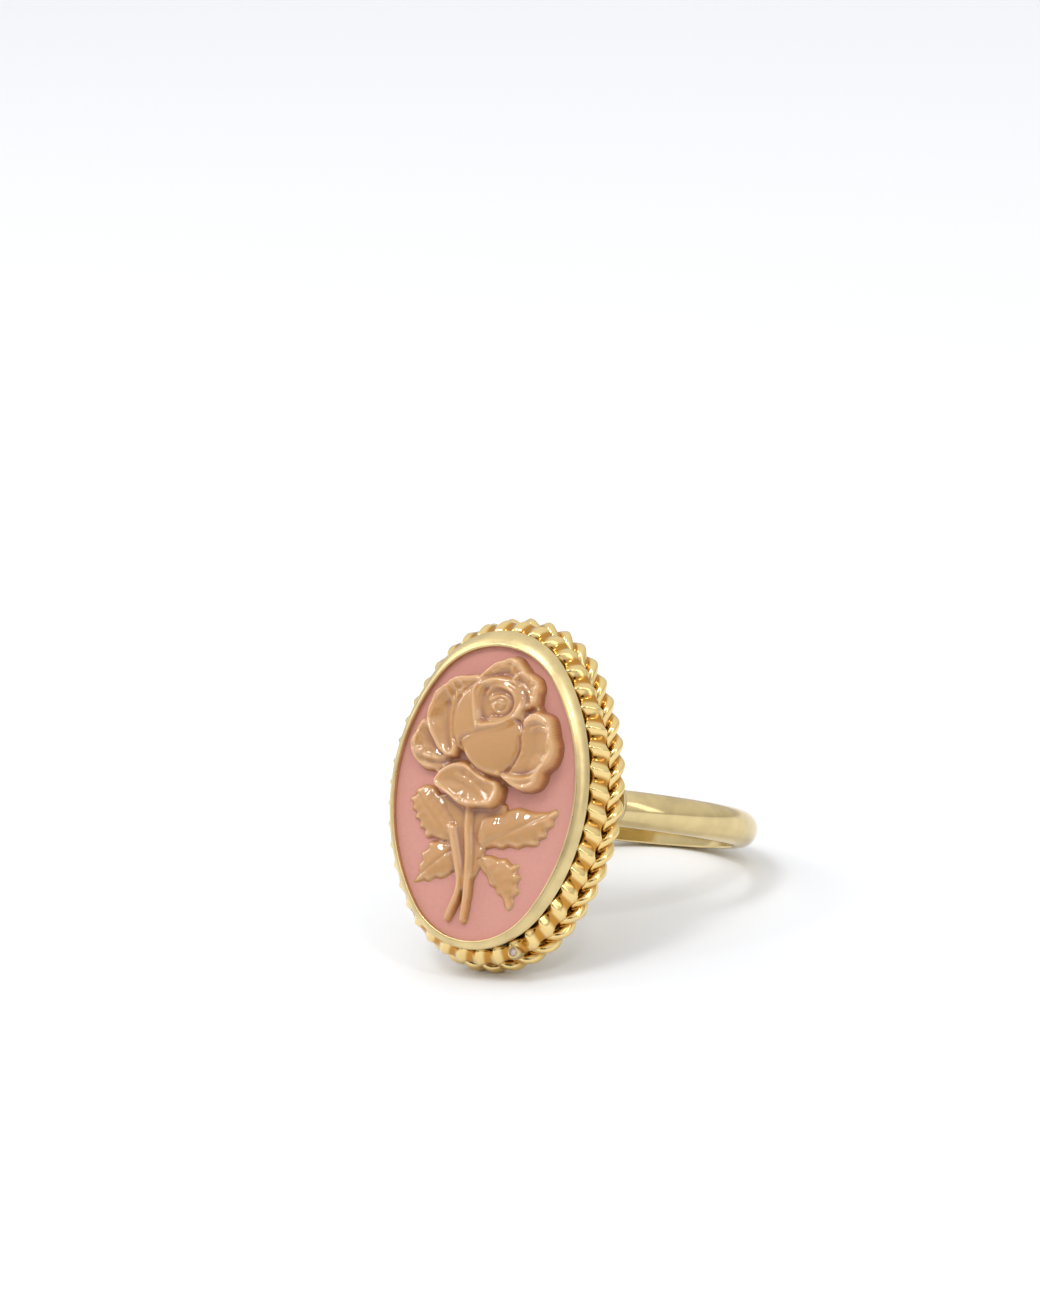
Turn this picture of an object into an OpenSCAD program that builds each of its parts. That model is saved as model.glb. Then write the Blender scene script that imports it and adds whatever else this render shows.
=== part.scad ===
// Cameo ring. A raised rose on an oval pink plaque is held in a gold cup by a slanted rim. Two twisted
// wires go round the cup, and a half-round shank is soldered under it. The ring lies as it does on a
// table: the head on its lower wire, the shank on the edge of its far side.

/* [Cameo] */
// Length of the plaque, along the finger
cameo_len = 18.2; // [17.6:0.1:20]
// Width of the plaque, across the finger
cameo_wid = 12.8; // [12.2:0.1:14]
// Thickness of the plaque
plaque_t = 2.4; // [1.5:0.1:3]
// Height of the rose above the plaque
rose_h = 1.3; // [0.9:0.1:1.7]
// Length of the spray, from the top petal to the end of the stems. Its width is 0.7 of that.
spray_len = 15.5; // [12:0.1:15.5]

/* [Cup] */
// How far the rim covers the sides of the plaque
rim_over_side = 0.1; // [0.05:0.05:0.3]
// How far the rim covers the ends of the plaque
rim_over_end = 0.3; // [0.2:0.05:0.6]
// Thickness of the rim
rim_t = 0.3; // [0.2:0.05:0.5]
// How far the slanted rim stands out over the wall
rim_out = 0.35; // [0.1:0.05:0.4]
// How far back the slanted rim reaches
rim_drop = 0.65; // [0.4:0.05:0.8]
// Thickness of the wall round the plaque
wall_t = 0.17; // [0.15:0.01:0.4]
// Width of the foot that closes the gap behind the wires
foot = 0.34; // [0.2:0.01:0.36]
// Thickness of the closed floor
floor_t = 0.8; // [0.4:0.05:1]
// Gap round the plaque, and between the rose and the plaque
fit_gap = 0.03; // [0.02:0.01:0.1]
// Diameter of the small vent hole in the wall
vent_d = 0.55; // [0.4:0.05:0.7]

/* [Twisted wires] */
// Radius of the thick wire at the back
back_wire_r = 0.67; // [0.6:0.01:0.75]
// Radius of the thin wire in front of it
front_wire_r = 0.53; // [0.45:0.01:0.58]
// Strands in the thick wire
back_strands = 2; // [2:1:4]
// Starts of the close thread on the thin wire
front_strands = 1; // [1:1:3]
// Crests of the strands that show round the border
crests = 43; // [36:1:50]
// Depth of the grooves between strands, as a share of the wire's radius
groove = 0.36; // [0.15:0.01:0.4]
// How deep the front wire is pressed into the back wire
nesting = 0.08; // [0.05:0.01:0.2]
// Gap of the solder seam between the wires and the cup
seam = 0.03; // [0.02:0.01:0.06]

/* [Shank] */
// Inner diameter of the shank, US size 6 1/2
finger_d = 16.9; // [14.9:0.1:20.6]
// Width of the shank, along the finger
shank_w = 2.2; // [1.8:0.1:3]
// Thickness of the shank at its crown
shank_t = 1.35; // [1.1:0.05:1.8]
// Height of the shank's flat sides
shank_side = 0.4; // [0.2:0.05:0.6]
// How deep the shank's crown is let into the floor of the cup
shank_sink = 0.06; // [0.03:0.01:0.2]
// Width of the saddle plate, along the finger
saddle_w = 3.2; // [2.8:0.1:5]
// Thickness of the saddle plate
saddle_t = 0.35; // [0.25:0.05:0.5]
// How far the saddle's ends stay inside the outer edge of the back wire
saddle_inset = 0.3; // [0:0.05:0.6]

/* [Hidden] */
$fn = 96;

// The ovals are four arcs on a 3-4-5 triangle. All of them share these four centres.
slim = (cameo_len - cameo_wid) / 2;
arc_run = 4 / 5;
arc_rise = 3 / 5;
arc_turn = atan2(arc_rise, arc_run);
side_c = 2 * slim;
end_c = side_c * arc_rise / arc_run;
side_r = cameo_wid / 2 + side_c;
end_r = cameo_len / 2 - end_c;

// Heights in the head's own frame: x across, y along the plaque, z = 0 on the front of the rim
window_len = cameo_len - 2 * rim_over_end;
window_wid = cameo_wid - 2 * rim_over_side;
plaque_z = -rim_t - fit_gap;
floor_z = plaque_z - plaque_t - fit_gap;
cup_z = floor_z - floor_t;
relief_z = plaque_z + fit_gap;
wall_in = fit_gap;
wall_out = fit_gap + wall_t;

// Places of the two wires, as distances outside the plaque's outline and heights
back_out = wall_out + seam + back_wire_r;
back_z = cup_z + seam + back_wire_r;
front_out = wall_out + seam + front_wire_r;
wire_step = back_wire_r + front_wire_r - nesting;
front_z = back_z + sqrt(pow(wire_step, 2) - pow(back_out - front_out, 2));

finger_r = finger_d / 2;
shank_c = -cup_z - shank_sink + shank_t + finger_r;
crown_rise = shank_t - shank_side;
crown_r = (pow(shank_w / 2, 2) + pow(crown_rise, 2)) / (2 * crown_rise);

// The ring leans back until the back wire and the far crown of the shank touch the same floor. The
// wire touches it with the two crests beside its lowest point, and crest_turn is how far round they lie.
crest_turn = half_outline(back_out) / crests / (end_r + back_out);
wire_low = [-back_z, -end_c - (end_r + back_out) * cos(crest_turn)];
crown_low = [shank_c + finger_r + shank_t - crown_r, 0];
span = crown_low - wire_low;
lean = atan2(span[1], span[0]) + asin((back_wire_r - crown_r) / norm(span));
floor_drop = wire_low[0] * sin(lean) - wire_low[1] * cos(lean) + back_wire_r;
// The ring's middle, halfway between the lower edge of the rim's front and the far crown
near_y = -cameo_len / 2 * sin(lean);
far_y = crown_low[0] * cos(lean) + crown_r;
middle_y = (near_y + far_y) / 2;

module at_rest()
  translate([0, -middle_y, floor_drop])
    rotate([90 - lean, 0, 0])
      children();

// One point of an oval that lies a distance out from the plaque, where its outline faces angle a
function oval_point(a, out) =
  abs(sin(a)) < arc_rise
    ? [-sign(cos(a)) * side_c, 0] + (side_r + out) * [cos(a), sin(a)]
    : [0, sign(sin(a)) * end_c] + (end_r + out) * [cos(a), sin(a)];

// Lengths of the outline's side and end arcs, as turn times radius
function side_len(out) = 2 * arc_turn * (side_r + out);
function end_len(out) = (180 - 2 * arc_turn) * (end_r + out);
function half_outline(out) = side_len(out) + end_len(out);

// The way that the outline faces after a share of its length, starting at the bottom
function oval_facing(share, out) =
  let(
    side = side_len(out),
    end = end_len(out),
    lap = share >= 0.5 ? 1 : 0,
    run = (2 * share - lap) * half_outline(out)
  )
  180 * lap - 90 + (
    run < end / 2 ? run / (end_r + out)
    : run < end / 2 + side ? 90 - arc_turn + (run - end / 2) / (side_r + out)
    : 90 + arc_turn + (run - end / 2 - side) / (end_r + out)
  );

// A section swept round the four arcs. Each arc is a true turn, cut on the planes it shares.
module round_oval() {
  reach = 2 * (cameo_len + cameo_wid);
  for (half = [0, 180]) rotate(half) {
    intersection() {
      translate([-side_c, 0, 0]) rotate_extrude() translate([side_r, 0]) children();
      linear_extrude(reach, center = true) polygon([
        [-side_c, 0],
        [-side_c + arc_run * reach, -arc_rise * reach],
        [-side_c + arc_run * reach, arc_rise * reach],
      ]);
    }
    intersection() {
      translate([0, end_c, 0]) rotate_extrude() translate([end_r, 0]) children();
      linear_extrude(reach, center = true) polygon([
        [0, end_c],
        [arc_run * reach, end_c + arc_rise * reach],
        [-arc_run * reach, end_c + arc_rise * reach],
      ]);
    }
  }
}

// A flat oval plate
module oval_plate(out, thick)
  linear_extrude(thick)
    polygon([for (a = [0 : 5 : 355]) oval_point(a, out)]);

// The window in the rim is a longer or shorter oval of its own.
module window() {
  across = window_wid / cameo_wid;
  along = window_len / cameo_len;
  translate([0, 0, -2 * rim_t]) scale([across, along, 1]) oval_plate(0, 3 * rim_t);
}

// A small round hole through the wall, low on the right side
vent_facing = -60;
module vent() {
  place = oval_point(vent_facing, wall_out);
  translate([place[0], place[1], front_z + front_wire_r + vent_d / 2])
    rotate([0, 90, vent_facing]) cylinder(2 * (wall_t + rim_out), d = vent_d, center = true, $fn = 32);
}

module cup_wall()
  difference() {
    round_oval() polygon([
      [wall_out + foot, cup_z],
      [wall_out, cup_z + foot],
      [wall_out, -rim_drop - rim_out],
      [wall_out + rim_out, -rim_drop],
      [0, 0],
      [-rim_over_end - rim_t, 0],
      [-rim_over_end - rim_t, -rim_t],
      [wall_in, -rim_t],
      [wall_in, cup_z],
    ]);
    window();
    vent();
  }

module cup_floor()
  translate([0, 0, cup_z]) oval_plate((wall_in + wall_out) / 2, floor_t);

module saddle_outline() {
  half = cameo_wid / 2 + back_out + back_wire_r - saddle_inset - saddle_w / 2;
  square([2 * half, saddle_w], center = true);
  for (s = [-1, 1]) translate([s * half, 0]) circle(saddle_w / 2);
}

// The plate under the wires. Its middle is let into the cup's floor, and its ends stay clear of the wires.
module saddle()
  translate([0, 0, cup_z - saddle_t]) {
    linear_extrude(saddle_t) saddle_outline();
    linear_extrude(saddle_t + floor_t / 2) square([cameo_wid - saddle_w, saddle_w], center = true);
  }

module shank()
  translate([0, 0, -shank_c]) rotate([90, 0, 0]) rotate_extrude()
    translate([finger_r, 0]) intersection() {
      translate([0, -shank_w / 2]) square([shank_t, shank_w]);
      translate([shank_t - crown_r, 0]) circle(crown_r);
    }

module ring_setting() color("gold") at_rest() {
  cup_wall();
  cup_floor();
  saddle();
  shank();
}

// One twisted wire round the cup. Its crests climb forward or backward, by the sign of hand.
wire_sides = 12;
steps = 4;
module twisted_wire(out, z, r, strands, hand, phase) {
  rings = crests * steps;
  points = [
    for (i = [0 : rings - 1])
      let(a = oval_facing(i / rings, out), c = oval_point(a, out))
      for (j = [0 : wire_sides - 1])
        let(
          f = 360 * j / wire_sides,
          dip = (1 - cos(strands * f - hand * 360 * i / steps - phase)) / 2,
          q = r * (1 - groove * dip)
        )
        [c[0] + q * cos(f) * cos(a), c[1] + q * cos(f) * sin(a), z + q * sin(f)]
  ];
  faces = [
    for (i = [0 : rings - 1]) for (j = [0 : wire_sides - 1])
      let(
        next_j = (j + 1) % wire_sides,
        ring_a = i * wire_sides,
        ring_b = ((i + 1) % rings) * wire_sides,
        corners = [ring_a + j, ring_b + j, ring_b + next_j, ring_a + next_j]
      )
      each hand > 0
        ? [[corners[0], corners[2], corners[1]], [corners[0], corners[3], corners[2]]]
        : [[corners[0], corners[3], corners[1]], [corners[1], corners[3], corners[2]]]
  ];
  polyhedron(points, faces);
}

// The back wire rests on two crests beside its lowest point, and the front wire's crests meet its own.
back_phase = 180 - back_strands * lean;
touch_turn = atan2(front_z - back_z, front_out - back_out);
front_phase = front_strands * (touch_turn + 180) + back_strands * touch_turn - back_phase;
module twisted_wires() color("goldenrod") at_rest() {
  twisted_wire(back_out, back_z, back_wire_r, back_strands, -1, back_phase);
  twisted_wire(front_out, front_z, front_wire_r, front_strands, 1, front_phase);
}

module cameo_plaque() color("lightpink") at_rest()
  translate([0, 0, plaque_z - plaque_t]) oval_plate(0, plaque_t);

// The rose is worked out in shares of the spray's length and of the rose's height. A column of a table
// is read by its heading.
function column(row, headings, name) = row[search([name], headings)[0]];

// A loft is closed through rings of points that turn left as seen from its last ring.
module loft(rings) {
  sides = len(rings[0]);
  last = len(rings) - 1;
  walls = [
    for (i = [0 : last - 1]) for (k = [0 : sides - 1])
      let(a = i * sides + k, b = i * sides + (k + 1) % sides)
      each [[a, b + sides, b], [a, a + sides, b + sides]]
  ];
  first_cap = [for (k = [0 : sides - 1]) k];
  last_cap = [for (k = [sides - 1 : -1 : 0]) last * sides + k];
  polyhedron([for (ring = rings) each ring], concat([first_cap], walls, [last_cap]));
}

// Petals, lowest first
PETAL_HEADINGS =
  ["name", "x", "y", "half x", "half y", "turn", "edge", "dish", "waves", "wave", "wave turn"];
PETALS = [
  ["body",         0.002,  0.198, 0.237, 0.230,   0, 0.50, 0.00, 3, 0.03,   0],
  ["back left",    0.050,  0.432, 0.111, 0.098,   5, 0.66, 0.10, 3, 0.07,  40],
  ["back right",   0.165,  0.393, 0.087, 0.084, -25, 0.70, 0.12, 3, 0.08,  10],
  ["far right",    0.225,  0.272, 0.080, 0.066, -30, 0.44, 0.06, 3, 0.05,   0],
  ["far left",    -0.250,  0.168, 0.105, 0.080, -35, 0.58, 0.14, 4, 0.06,  60],
  ["upper left",  -0.185,  0.298, 0.094, 0.150, -15, 0.82, 0.20, 3, 0.05,  80],
  ["right",        0.222,  0.166, 0.110, 0.143, -12, 0.84, 0.20, 5, 0.04,  20],
  ["low front",   -0.053,  0.027, 0.164, 0.078, -12, 0.80, 0.14, 3, 0.05, 150],
];

// The section of a petal from its foot over the rolled edge to its middle
PETAL_SECTION = [
  // share of radius, share of edge height, share of dish
  [0.97, 0, 0],
  [1, 0.7, 0],
  [0.94, 0.97, 0],
  [0.84, 1, 0.1],
  [0.62, 1, 0.75],
  [0.3, 1, 1],
];
petal_sides = 16;

module petal(row) {
  function of(name) = column(row, PETAL_HEADINGS, name);
  translate([of("x"), of("y")]) rotate(of("turn")) loft([
    for (s = PETAL_SECTION) [
      for (k = [0 : petal_sides - 1])
        let(
          a = 360 * k / petal_sides,
          q = s[0] * (1 + of("wave") * cos(of("waves") * a + of("wave turn"))),
          h = s[1] * of("edge") - s[2] * of("dish")
        )
        [q * of("half x") * cos(a), q * of("half y") * sin(a), h]
    ]
  ]);
}

// The closed bud, a dome under its folds
BUD_SECTION = [
  // share of radius, height
  [0.98, 0],
  [1, 0.42],
  [0.92, 0.68],
  [0.74, 0.83],
  [0.4, 0.86],
];
bud_x = 0.028;
bud_y = 0.262;
bud_half_x = 0.160;
bud_half_y = 0.188;
module bud()
  translate([bud_x, bud_y]) loft([
    for (s = BUD_SECTION) [
      for (k = [0 : petal_sides - 1])
        let(a = 360 * (k + 0.5) / petal_sides)
        [s[0] * bud_half_x * cos(a), s[0] * bud_half_y * sin(a), s[1]]
    ]
  ]);

// Folds on the bud. Each is a round ridge along a spiral about its own centre, thin at both ends.
FOLD_HEADINGS = ["x", "y", "first radius", "last radius", "first angle", "last angle", "top", "half width"];
FOLDS = [
  [0.249, -0.334, 0.626, 0.626,  99, 119, 0.96, 0.021],
  [0.820,  0.413, 0.836, 0.836, 178, 190, 0.96, 0.021],
  [0.073,  0.335, 0.105, 0.098, -75, 190, 0.98, 0.021],
  [0.070,  0.330, 0.059, 0.014, -60, 330, 1.00, 0.015],
];
fold_sides = 6;
// Greatest turn between two stations, the share of width left at the ends, and the ridge's height to
// its width, in shares of the rose's height to shares of the spray's length
fold_step = 31;
fold_taper = 0.4;
fold_rise = 12;

module fold(row) {
  function of(name) = column(row, FOLD_HEADINGS, name);
  turn = of("last angle") - of("first angle");
  last = ceil(turn / fold_step) + 2;
  translate([of("x"), of("y"), of("top") - fold_rise * of("half width")]) loft([
    for (i = [0 : last])
      let(
        a = of("first angle") + turn * i / last,
        q = of("first radius") + (of("last radius") - of("first radius")) * i / last,
        r = of("half width") * (i == 0 || i == last ? fold_taper : 1)
      )
      [
        for (k = [0 : fold_sides - 1])
          let(f = 90 - 360 * k / fold_sides)
          [(q + r * cos(f)) * cos(a), (q + r * cos(f)) * sin(a), fold_rise * r * sin(f)]
      ]
  ]);
}

// Leaves, from the stem to the tip
LEAF_HEADINGS = ["base x", "base y", "tip x", "tip y", "half width", "height"];
LEAVES = [
  [-0.115, -0.185, -0.338, -0.015, 0.084, 0.50],
  [-0.084, -0.245, -0.279, -0.352, 0.066, 0.40],
  [-0.028, -0.215,  0.348, -0.045, 0.073, 0.50],
  [-0.021, -0.240,  0.171, -0.445, 0.073, 0.42],
];
LEAF_SECTION = [
  // share of half width, share of height
  [1, 0],
  [1, 0.45],
  [0.5, 1],
  [0, 0.72],
  [-0.5, 1],
  [-1, 0.45],
  [-1, 0],
];
teeth = 6;
tooth = 0.14;
// How much lower the leaf is at its tip
leaf_fall = 0.4;

module leaf(row) {
  function of(name) = column(row, LEAF_HEADINGS, name);
  run = [of("tip x") - of("base x"), of("tip y") - of("base y")];
  stations = 2 * teeth + 1;
  translate([of("base x"), of("base y")]) rotate(atan2(run[1], run[0])) loft([
    for (i = [0 : stations - 1])
      let(
        t = (i + 0.5) / stations,
        saw = i % 2 == 0 ? -tooth : tooth,
        wide = of("half width") * pow(sin(180 * pow(t, 0.85)), 0.7) * (1 + saw)
      )
      [for (s = LEAF_SECTION) [t * norm(run), s[0] * wide, s[1] * of("height") * (1 - leaf_fall * t)]]
  ]);
}

// The two stems, from the flower down
STEMS = [
  [
    [-0.056, -0.030],
    [-0.052, -0.130],
    [-0.038, -0.226],
    [-0.033, -0.320],
    [-0.028, -0.400],
    [-0.024, -0.463],
  ],
  [
    [-0.088, -0.020],
    [-0.111, -0.115],
    [-0.110, -0.180],
    [-0.091, -0.245],
    [-0.071, -0.310],
    [-0.068, -0.355],
    [-0.073, -0.400],
    [-0.094, -0.458],
  ],
];
stem_half = 0.020;
stem_h = 0.42;
stem_step = 36;

module stem(stops) {
  last = len(stops) - 1;
  loft([
    for (i = [0 : last])
      let(
        run = stops[min(i + 1, last)] - stops[max(i - 1, 0)],
        left = [-run[1], run[0]] / norm(run)
      )
      [
        for (f = [0 : stem_step : 180])
          let(p = stops[i] + stem_half * cos(f) * left)
          [p[0], p[1], stem_h * sin(f)]
      ]
  ]);
}

module rose_relief() color("burlywood") at_rest()
  translate([0, 0, relief_z]) scale([spray_len, spray_len, rose_h]) {
    for (row = PETALS) petal(row);
    bud();
    for (row = FOLDS) fold(row);
    for (row = LEAVES) leaf(row);
    for (row = STEMS) stem(row);
  }

ring_setting();
twisted_wires();
cameo_plaque();
rose_relief();
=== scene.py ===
import math

import bmesh
import bpy
import numpy as np
from bpy.props import FloatProperty, FloatVectorProperty, IntProperty, PointerProperty
from bpy.types import Operator, Panel, PropertyGroup
from mathutils import Matrix, Vector


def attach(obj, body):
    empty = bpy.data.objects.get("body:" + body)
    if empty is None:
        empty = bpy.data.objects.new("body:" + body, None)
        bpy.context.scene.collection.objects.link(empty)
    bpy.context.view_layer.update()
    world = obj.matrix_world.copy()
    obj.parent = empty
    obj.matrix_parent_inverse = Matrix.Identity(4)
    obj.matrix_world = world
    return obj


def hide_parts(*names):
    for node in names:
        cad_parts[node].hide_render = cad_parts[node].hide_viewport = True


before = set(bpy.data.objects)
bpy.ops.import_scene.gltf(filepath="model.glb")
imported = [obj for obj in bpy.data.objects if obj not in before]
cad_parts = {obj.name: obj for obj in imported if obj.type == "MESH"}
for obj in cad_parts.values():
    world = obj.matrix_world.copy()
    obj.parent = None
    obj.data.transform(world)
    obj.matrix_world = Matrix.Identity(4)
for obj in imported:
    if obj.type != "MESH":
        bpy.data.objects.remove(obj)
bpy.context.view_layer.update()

bl_info = {
    "name": "Cameo Ring",
    "version": (1, 0, 0),
    "blender": (4, 5, 0),
    "location": "View3D > Sidebar > Cameo Ring",
    "description": "A gold ring with a raised rose on an oval pink plaque, framed by two twisted wires",
    "category": "Add Mesh",
}

MM = 0.001

# The ovals are four arcs on a 3-4-5 triangle.
ARC_RUN = 4 / 5
ARC_RISE = 3 / 5
ARC_TURN = math.atan2(ARC_RISE, ARC_RUN)

# Gaps that keep the pieces apart, in millimetres
FIT_GAP = 0.03
SEAM = 0.03

# The rest of the CAD's sizes that these pieces share, in millimetres
WIRE_NESTING = 0.08
SHANK_SINK = 0.06
SHANK_SIDE = 0.4
SADDLE_WIDTH = 3.2
SADDLE_THICKNESS = 0.35
SADDLE_INSET = 0.3
FOOT = 0.34

# How much nearer the cup's lower end the window and the rose lie, as the rim is wider at the top
UNEVEN_RIM = 0.2


def length_property(name, description, millimetres):
    return FloatProperty(name=name, description=description, default=millimetres * MM, unit="LENGTH")


def colour_property(name, description, colour):
    return FloatVectorProperty(
        name=name, description=description, default=colour, subtype="COLOR", min=0, max=1)


def angle_property(name, description, degrees):
    return FloatProperty(
        name=name, description=description, default=math.radians(degrees), subtype="ANGLE")


class RingSizes(PropertyGroup):
    """Sizes of the ring, as its maker would give them."""

    cameo_length: length_property("Cameo length", "Length of the plaque, along the finger", 18.2)
    cameo_width: length_property("Cameo width", "Width of the plaque, across the finger", 12.8)
    plaque_thickness: length_property("Plaque thickness", "Thickness of the plaque", 2.4)
    rim_thickness: length_property("Rim thickness", "Thickness of the rim that holds the plaque", 0.3)
    rim_over_sides: length_property(
        "Rim over the sides", "How far the rim covers the plaque at its sides", 0.1)
    rim_over_top: length_property(
        "Rim over the top", "How far the rim covers the plaque at its upper end", 0.5)
    rim_over_bottom: length_property(
        "Rim over the bottom", "How far the rim covers the plaque at its lower end", 0.1)
    rim_out: length_property("Rim stands out", "How far the slanted rim stands out over the wall", 0.35)
    rim_drop: length_property("Rim drop", "How far back the slanted rim reaches", 0.65)
    wall_thickness: length_property(
        "Wall thickness", "Thickness of the plain wall round the plaque", 0.17)
    floor_thickness: length_property("Floor thickness", "Thickness of the cup's floor", 0.8)
    back_wire_radius: length_property("Back wire radius", "Radius of the thick twisted wire", 0.67)
    front_wire_radius: length_property("Front wire radius", "Radius of the thin twisted wire", 0.53)
    strands: IntProperty(
        name="Strands", description="Strands in the thick twisted wire", default=2, min=2)
    crests: IntProperty(
        name="Crests", description="Crests of the strands that show round the border", default=43, min=8)
    finger_diameter: length_property("Finger diameter", "Inner diameter of the shank", 16.9)
    shank_width: length_property("Shank width", "Width of the shank, along the finger", 2.2)
    shank_thickness: length_property("Shank thickness", "Thickness of the shank at its crown", 1.35)
    vent_diameter: length_property("Vent diameter", "Diameter of the small vent hole in the wall", 0.55)


class RingColours(PropertyGroup):
    """Colours of the ring's finishes."""

    gold: colour_property("Gold", "Colour of the polished setting", (0.76, 0.60, 0.30))
    wire_gold: colour_property("Wire gold", "Colour of the twisted wires", (0.86, 0.65, 0.28))
    plaque: colour_property("Plaque", "Colour of the matt plaque", (0.61, 0.287, 0.236))
    glaze: colour_property("Glaze", "Colour of the rose where its glaze is thin", (0.52, 0.262, 0.082))
    # Partly pooled glaze, partly painted shade: the colour that the rose takes in its hollows
    pooled_glaze_and_shade: colour_property(
        "Deep glaze", "Colour of the rose where its glaze has pooled", (0.34, 0.125, 0.05))
    # Partly thin glaze, partly a painted highlight: the colour that the rose takes on its raised lips
    thin_glaze_and_highlight: colour_property(
        "Pale glaze", "Colour of the rose on its thin raised lips", (0.66, 0.39, 0.17))


class RingView(PropertyGroup):
    """Where the camera stands and what it frames."""

    azimuth: angle_property("Azimuth", "Turn of the camera round the ring", 34.58)
    elevation: angle_property("Elevation", "Height of the camera above the floor", 18.88)
    roll: angle_property("Roll", "Tilt of the camera about its own axis", -8.12)
    distance: length_property("Distance", "Distance from the camera to the cameo", 358)
    lens: FloatProperty(
        name="Lens", description="Focal length for a sensor 36 mm high", default=167.1, min=10)
    shift_x: FloatProperty(
        name="Shift X", description="How far the frame is moved sideways", default=0.0286)
    shift_y: FloatProperty(
        name="Shift Y", description="How far the frame is moved upward", default=0.1102)


class Head:
    """Places in the head's own frame, in millimetres: x across, y along the cameo, z out of its face."""

    def __init__(self, sizes):
        self.length = sizes.cameo_length / MM
        self.width = sizes.cameo_width / MM
        slim = (self.length - self.width) / 2
        self.side_c = 2 * slim
        self.end_c = self.side_c * ARC_RISE / ARC_RUN
        self.side_r = self.width / 2 + self.side_c
        self.end_r = self.length / 2 - self.end_c

        self.rim_t = sizes.rim_thickness / MM
        self.rim_out = sizes.rim_out / MM
        self.rim_drop = sizes.rim_drop / MM
        self.wall_in = FIT_GAP
        self.wall_out = FIT_GAP + sizes.wall_thickness / MM
        self.plaque_z = -self.rim_t - FIT_GAP
        self.floor_z = self.plaque_z - sizes.plaque_thickness / MM - FIT_GAP
        self.cup_z = self.floor_z - sizes.floor_thickness / MM

        self.back_r = sizes.back_wire_radius / MM
        self.front_r = sizes.front_wire_radius / MM
        self.back_out = self.wall_out + SEAM + self.back_r
        self.back_z = self.cup_z + SEAM + self.back_r
        self.front_out = self.wall_out + SEAM + self.front_r
        step = self.back_r + self.front_r - WIRE_NESTING
        self.front_z = self.back_z + math.sqrt(step ** 2 - (self.back_out - self.front_out) ** 2)

        self.finger_r = sizes.finger_diameter / MM / 2
        self.shank_w = sizes.shank_width / MM
        self.shank_t = sizes.shank_thickness / MM
        self.shank_c = -self.cup_z - SHANK_SINK + self.shank_t + self.finger_r
        crown_rise = self.shank_t - SHANK_SIDE
        self.crown_r = ((self.shank_w / 2) ** 2 + crown_rise ** 2) / (2 * crown_rise)

        # The ring rests on the two crests beside the lowest point of the back wire.
        crest_turn = self.half_outline(self.back_out) / sizes.crests / (self.end_r + self.back_out)
        low = np.array([-self.back_z, -self.end_c - (self.end_r + self.back_out) * math.cos(crest_turn)])
        crown = np.array([self.shank_c + self.finger_r + self.shank_t - self.crown_r, 0])
        span = crown - low
        self.lean = math.atan2(span[1], span[0]) + math.asin((self.back_r - self.crown_r) / np.hypot(*span))
        sin, cos = math.sin(self.lean), math.cos(self.lean)
        self.drop = low[0] * sin - low[1] * cos + self.back_r
        near = -self.length / 2 * sin
        far = crown[0] * cos + self.crown_r
        self.middle = (near + far) / 2

    def oval_point(self, facing, out):
        """Point of an oval that lies out from the plaque, where its outline faces an angle in radians."""
        cos, sin = math.cos(facing), math.sin(facing)
        if abs(sin) < ARC_RISE:
            return (-math.copysign(self.side_c, cos) + (self.side_r + out) * cos, (self.side_r + out) * sin)
        return ((self.end_r + out) * cos, math.copysign(self.end_c, sin) + (self.end_r + out) * sin)

    def side_len(self, out):
        return 2 * ARC_TURN * (self.side_r + out)

    def end_len(self, out):
        return (math.pi - 2 * ARC_TURN) * (self.end_r + out)

    def half_outline(self, out):
        return self.side_len(out) + self.end_len(out)

    def facing(self, share, out):
        """The way the outline faces after a share of its length, starting at the bottom."""
        side_len, end_len = self.side_len(out), self.end_len(out)
        half = side_len + end_len
        lap = 1 if share >= 0.5 else 0
        run = (2 * share - lap) * half
        if run < end_len / 2:
            turn = run / (self.end_r + out)
        elif run < end_len / 2 + side_len:
            turn = math.pi / 2 - ARC_TURN + (run - end_len / 2) / (self.side_r + out)
        else:
            turn = math.pi / 2 + ARC_TURN + (run - end_len / 2 - side_len) / (self.end_r + out)
        return math.pi * lap - math.pi / 2 + turn

    def to_world(self, points):
        """Points of the head in millimetres, as points of the resting ring in metres."""
        p = np.asarray(points, dtype=float).reshape(-1, 3)
        tilt = math.pi / 2 - self.lean
        cos, sin = math.cos(tilt), math.sin(tilt)
        y = p[:, 1] * cos - p[:, 2] * sin - self.middle
        z = p[:, 1] * sin + p[:, 2] * cos + self.drop
        return np.column_stack([p[:, 0], y, z]) * MM


def smooth_step(value, low, high):
    """0 up to low and 1 from high on, with a soft rise between them."""
    t = np.clip((value - low) / (high - low), 0, 1)
    return t * t * (3 - 2 * t)


def wrapped_faces(rows, columns, close_rows=True):
    """Quads of a grid of points whose columns close on themselves, and its rows too if told to."""
    i, j = np.meshgrid(np.arange(rows if close_rows else rows - 1), np.arange(columns), indexing="ij")
    next_i, next_j = (i + 1) % rows, (j + 1) % columns
    corners = [i * columns + j, next_i * columns + j, next_i * columns + next_j, i * columns + next_j]
    return np.stack(corners, axis=-1).reshape(-1, 4)


def round_turns(count, offset=0):
    """Angles of evenly spaced points round a circle."""
    return 2 * math.pi * (np.arange(count) + offset) / count


def capped(rings):
    """Points and faces of a body lofted through closed rings, with a flat cap on each end."""
    sides = len(rings[0])
    points = [point for ring in rings for point in ring]
    faces = wrapped_faces(len(rings), sides, close_rows=False).tolist()
    faces.append(tuple(range(sides - 1, -1, -1)))
    faces.append(tuple(range(len(points) - sides, len(points))))
    return points, faces


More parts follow.
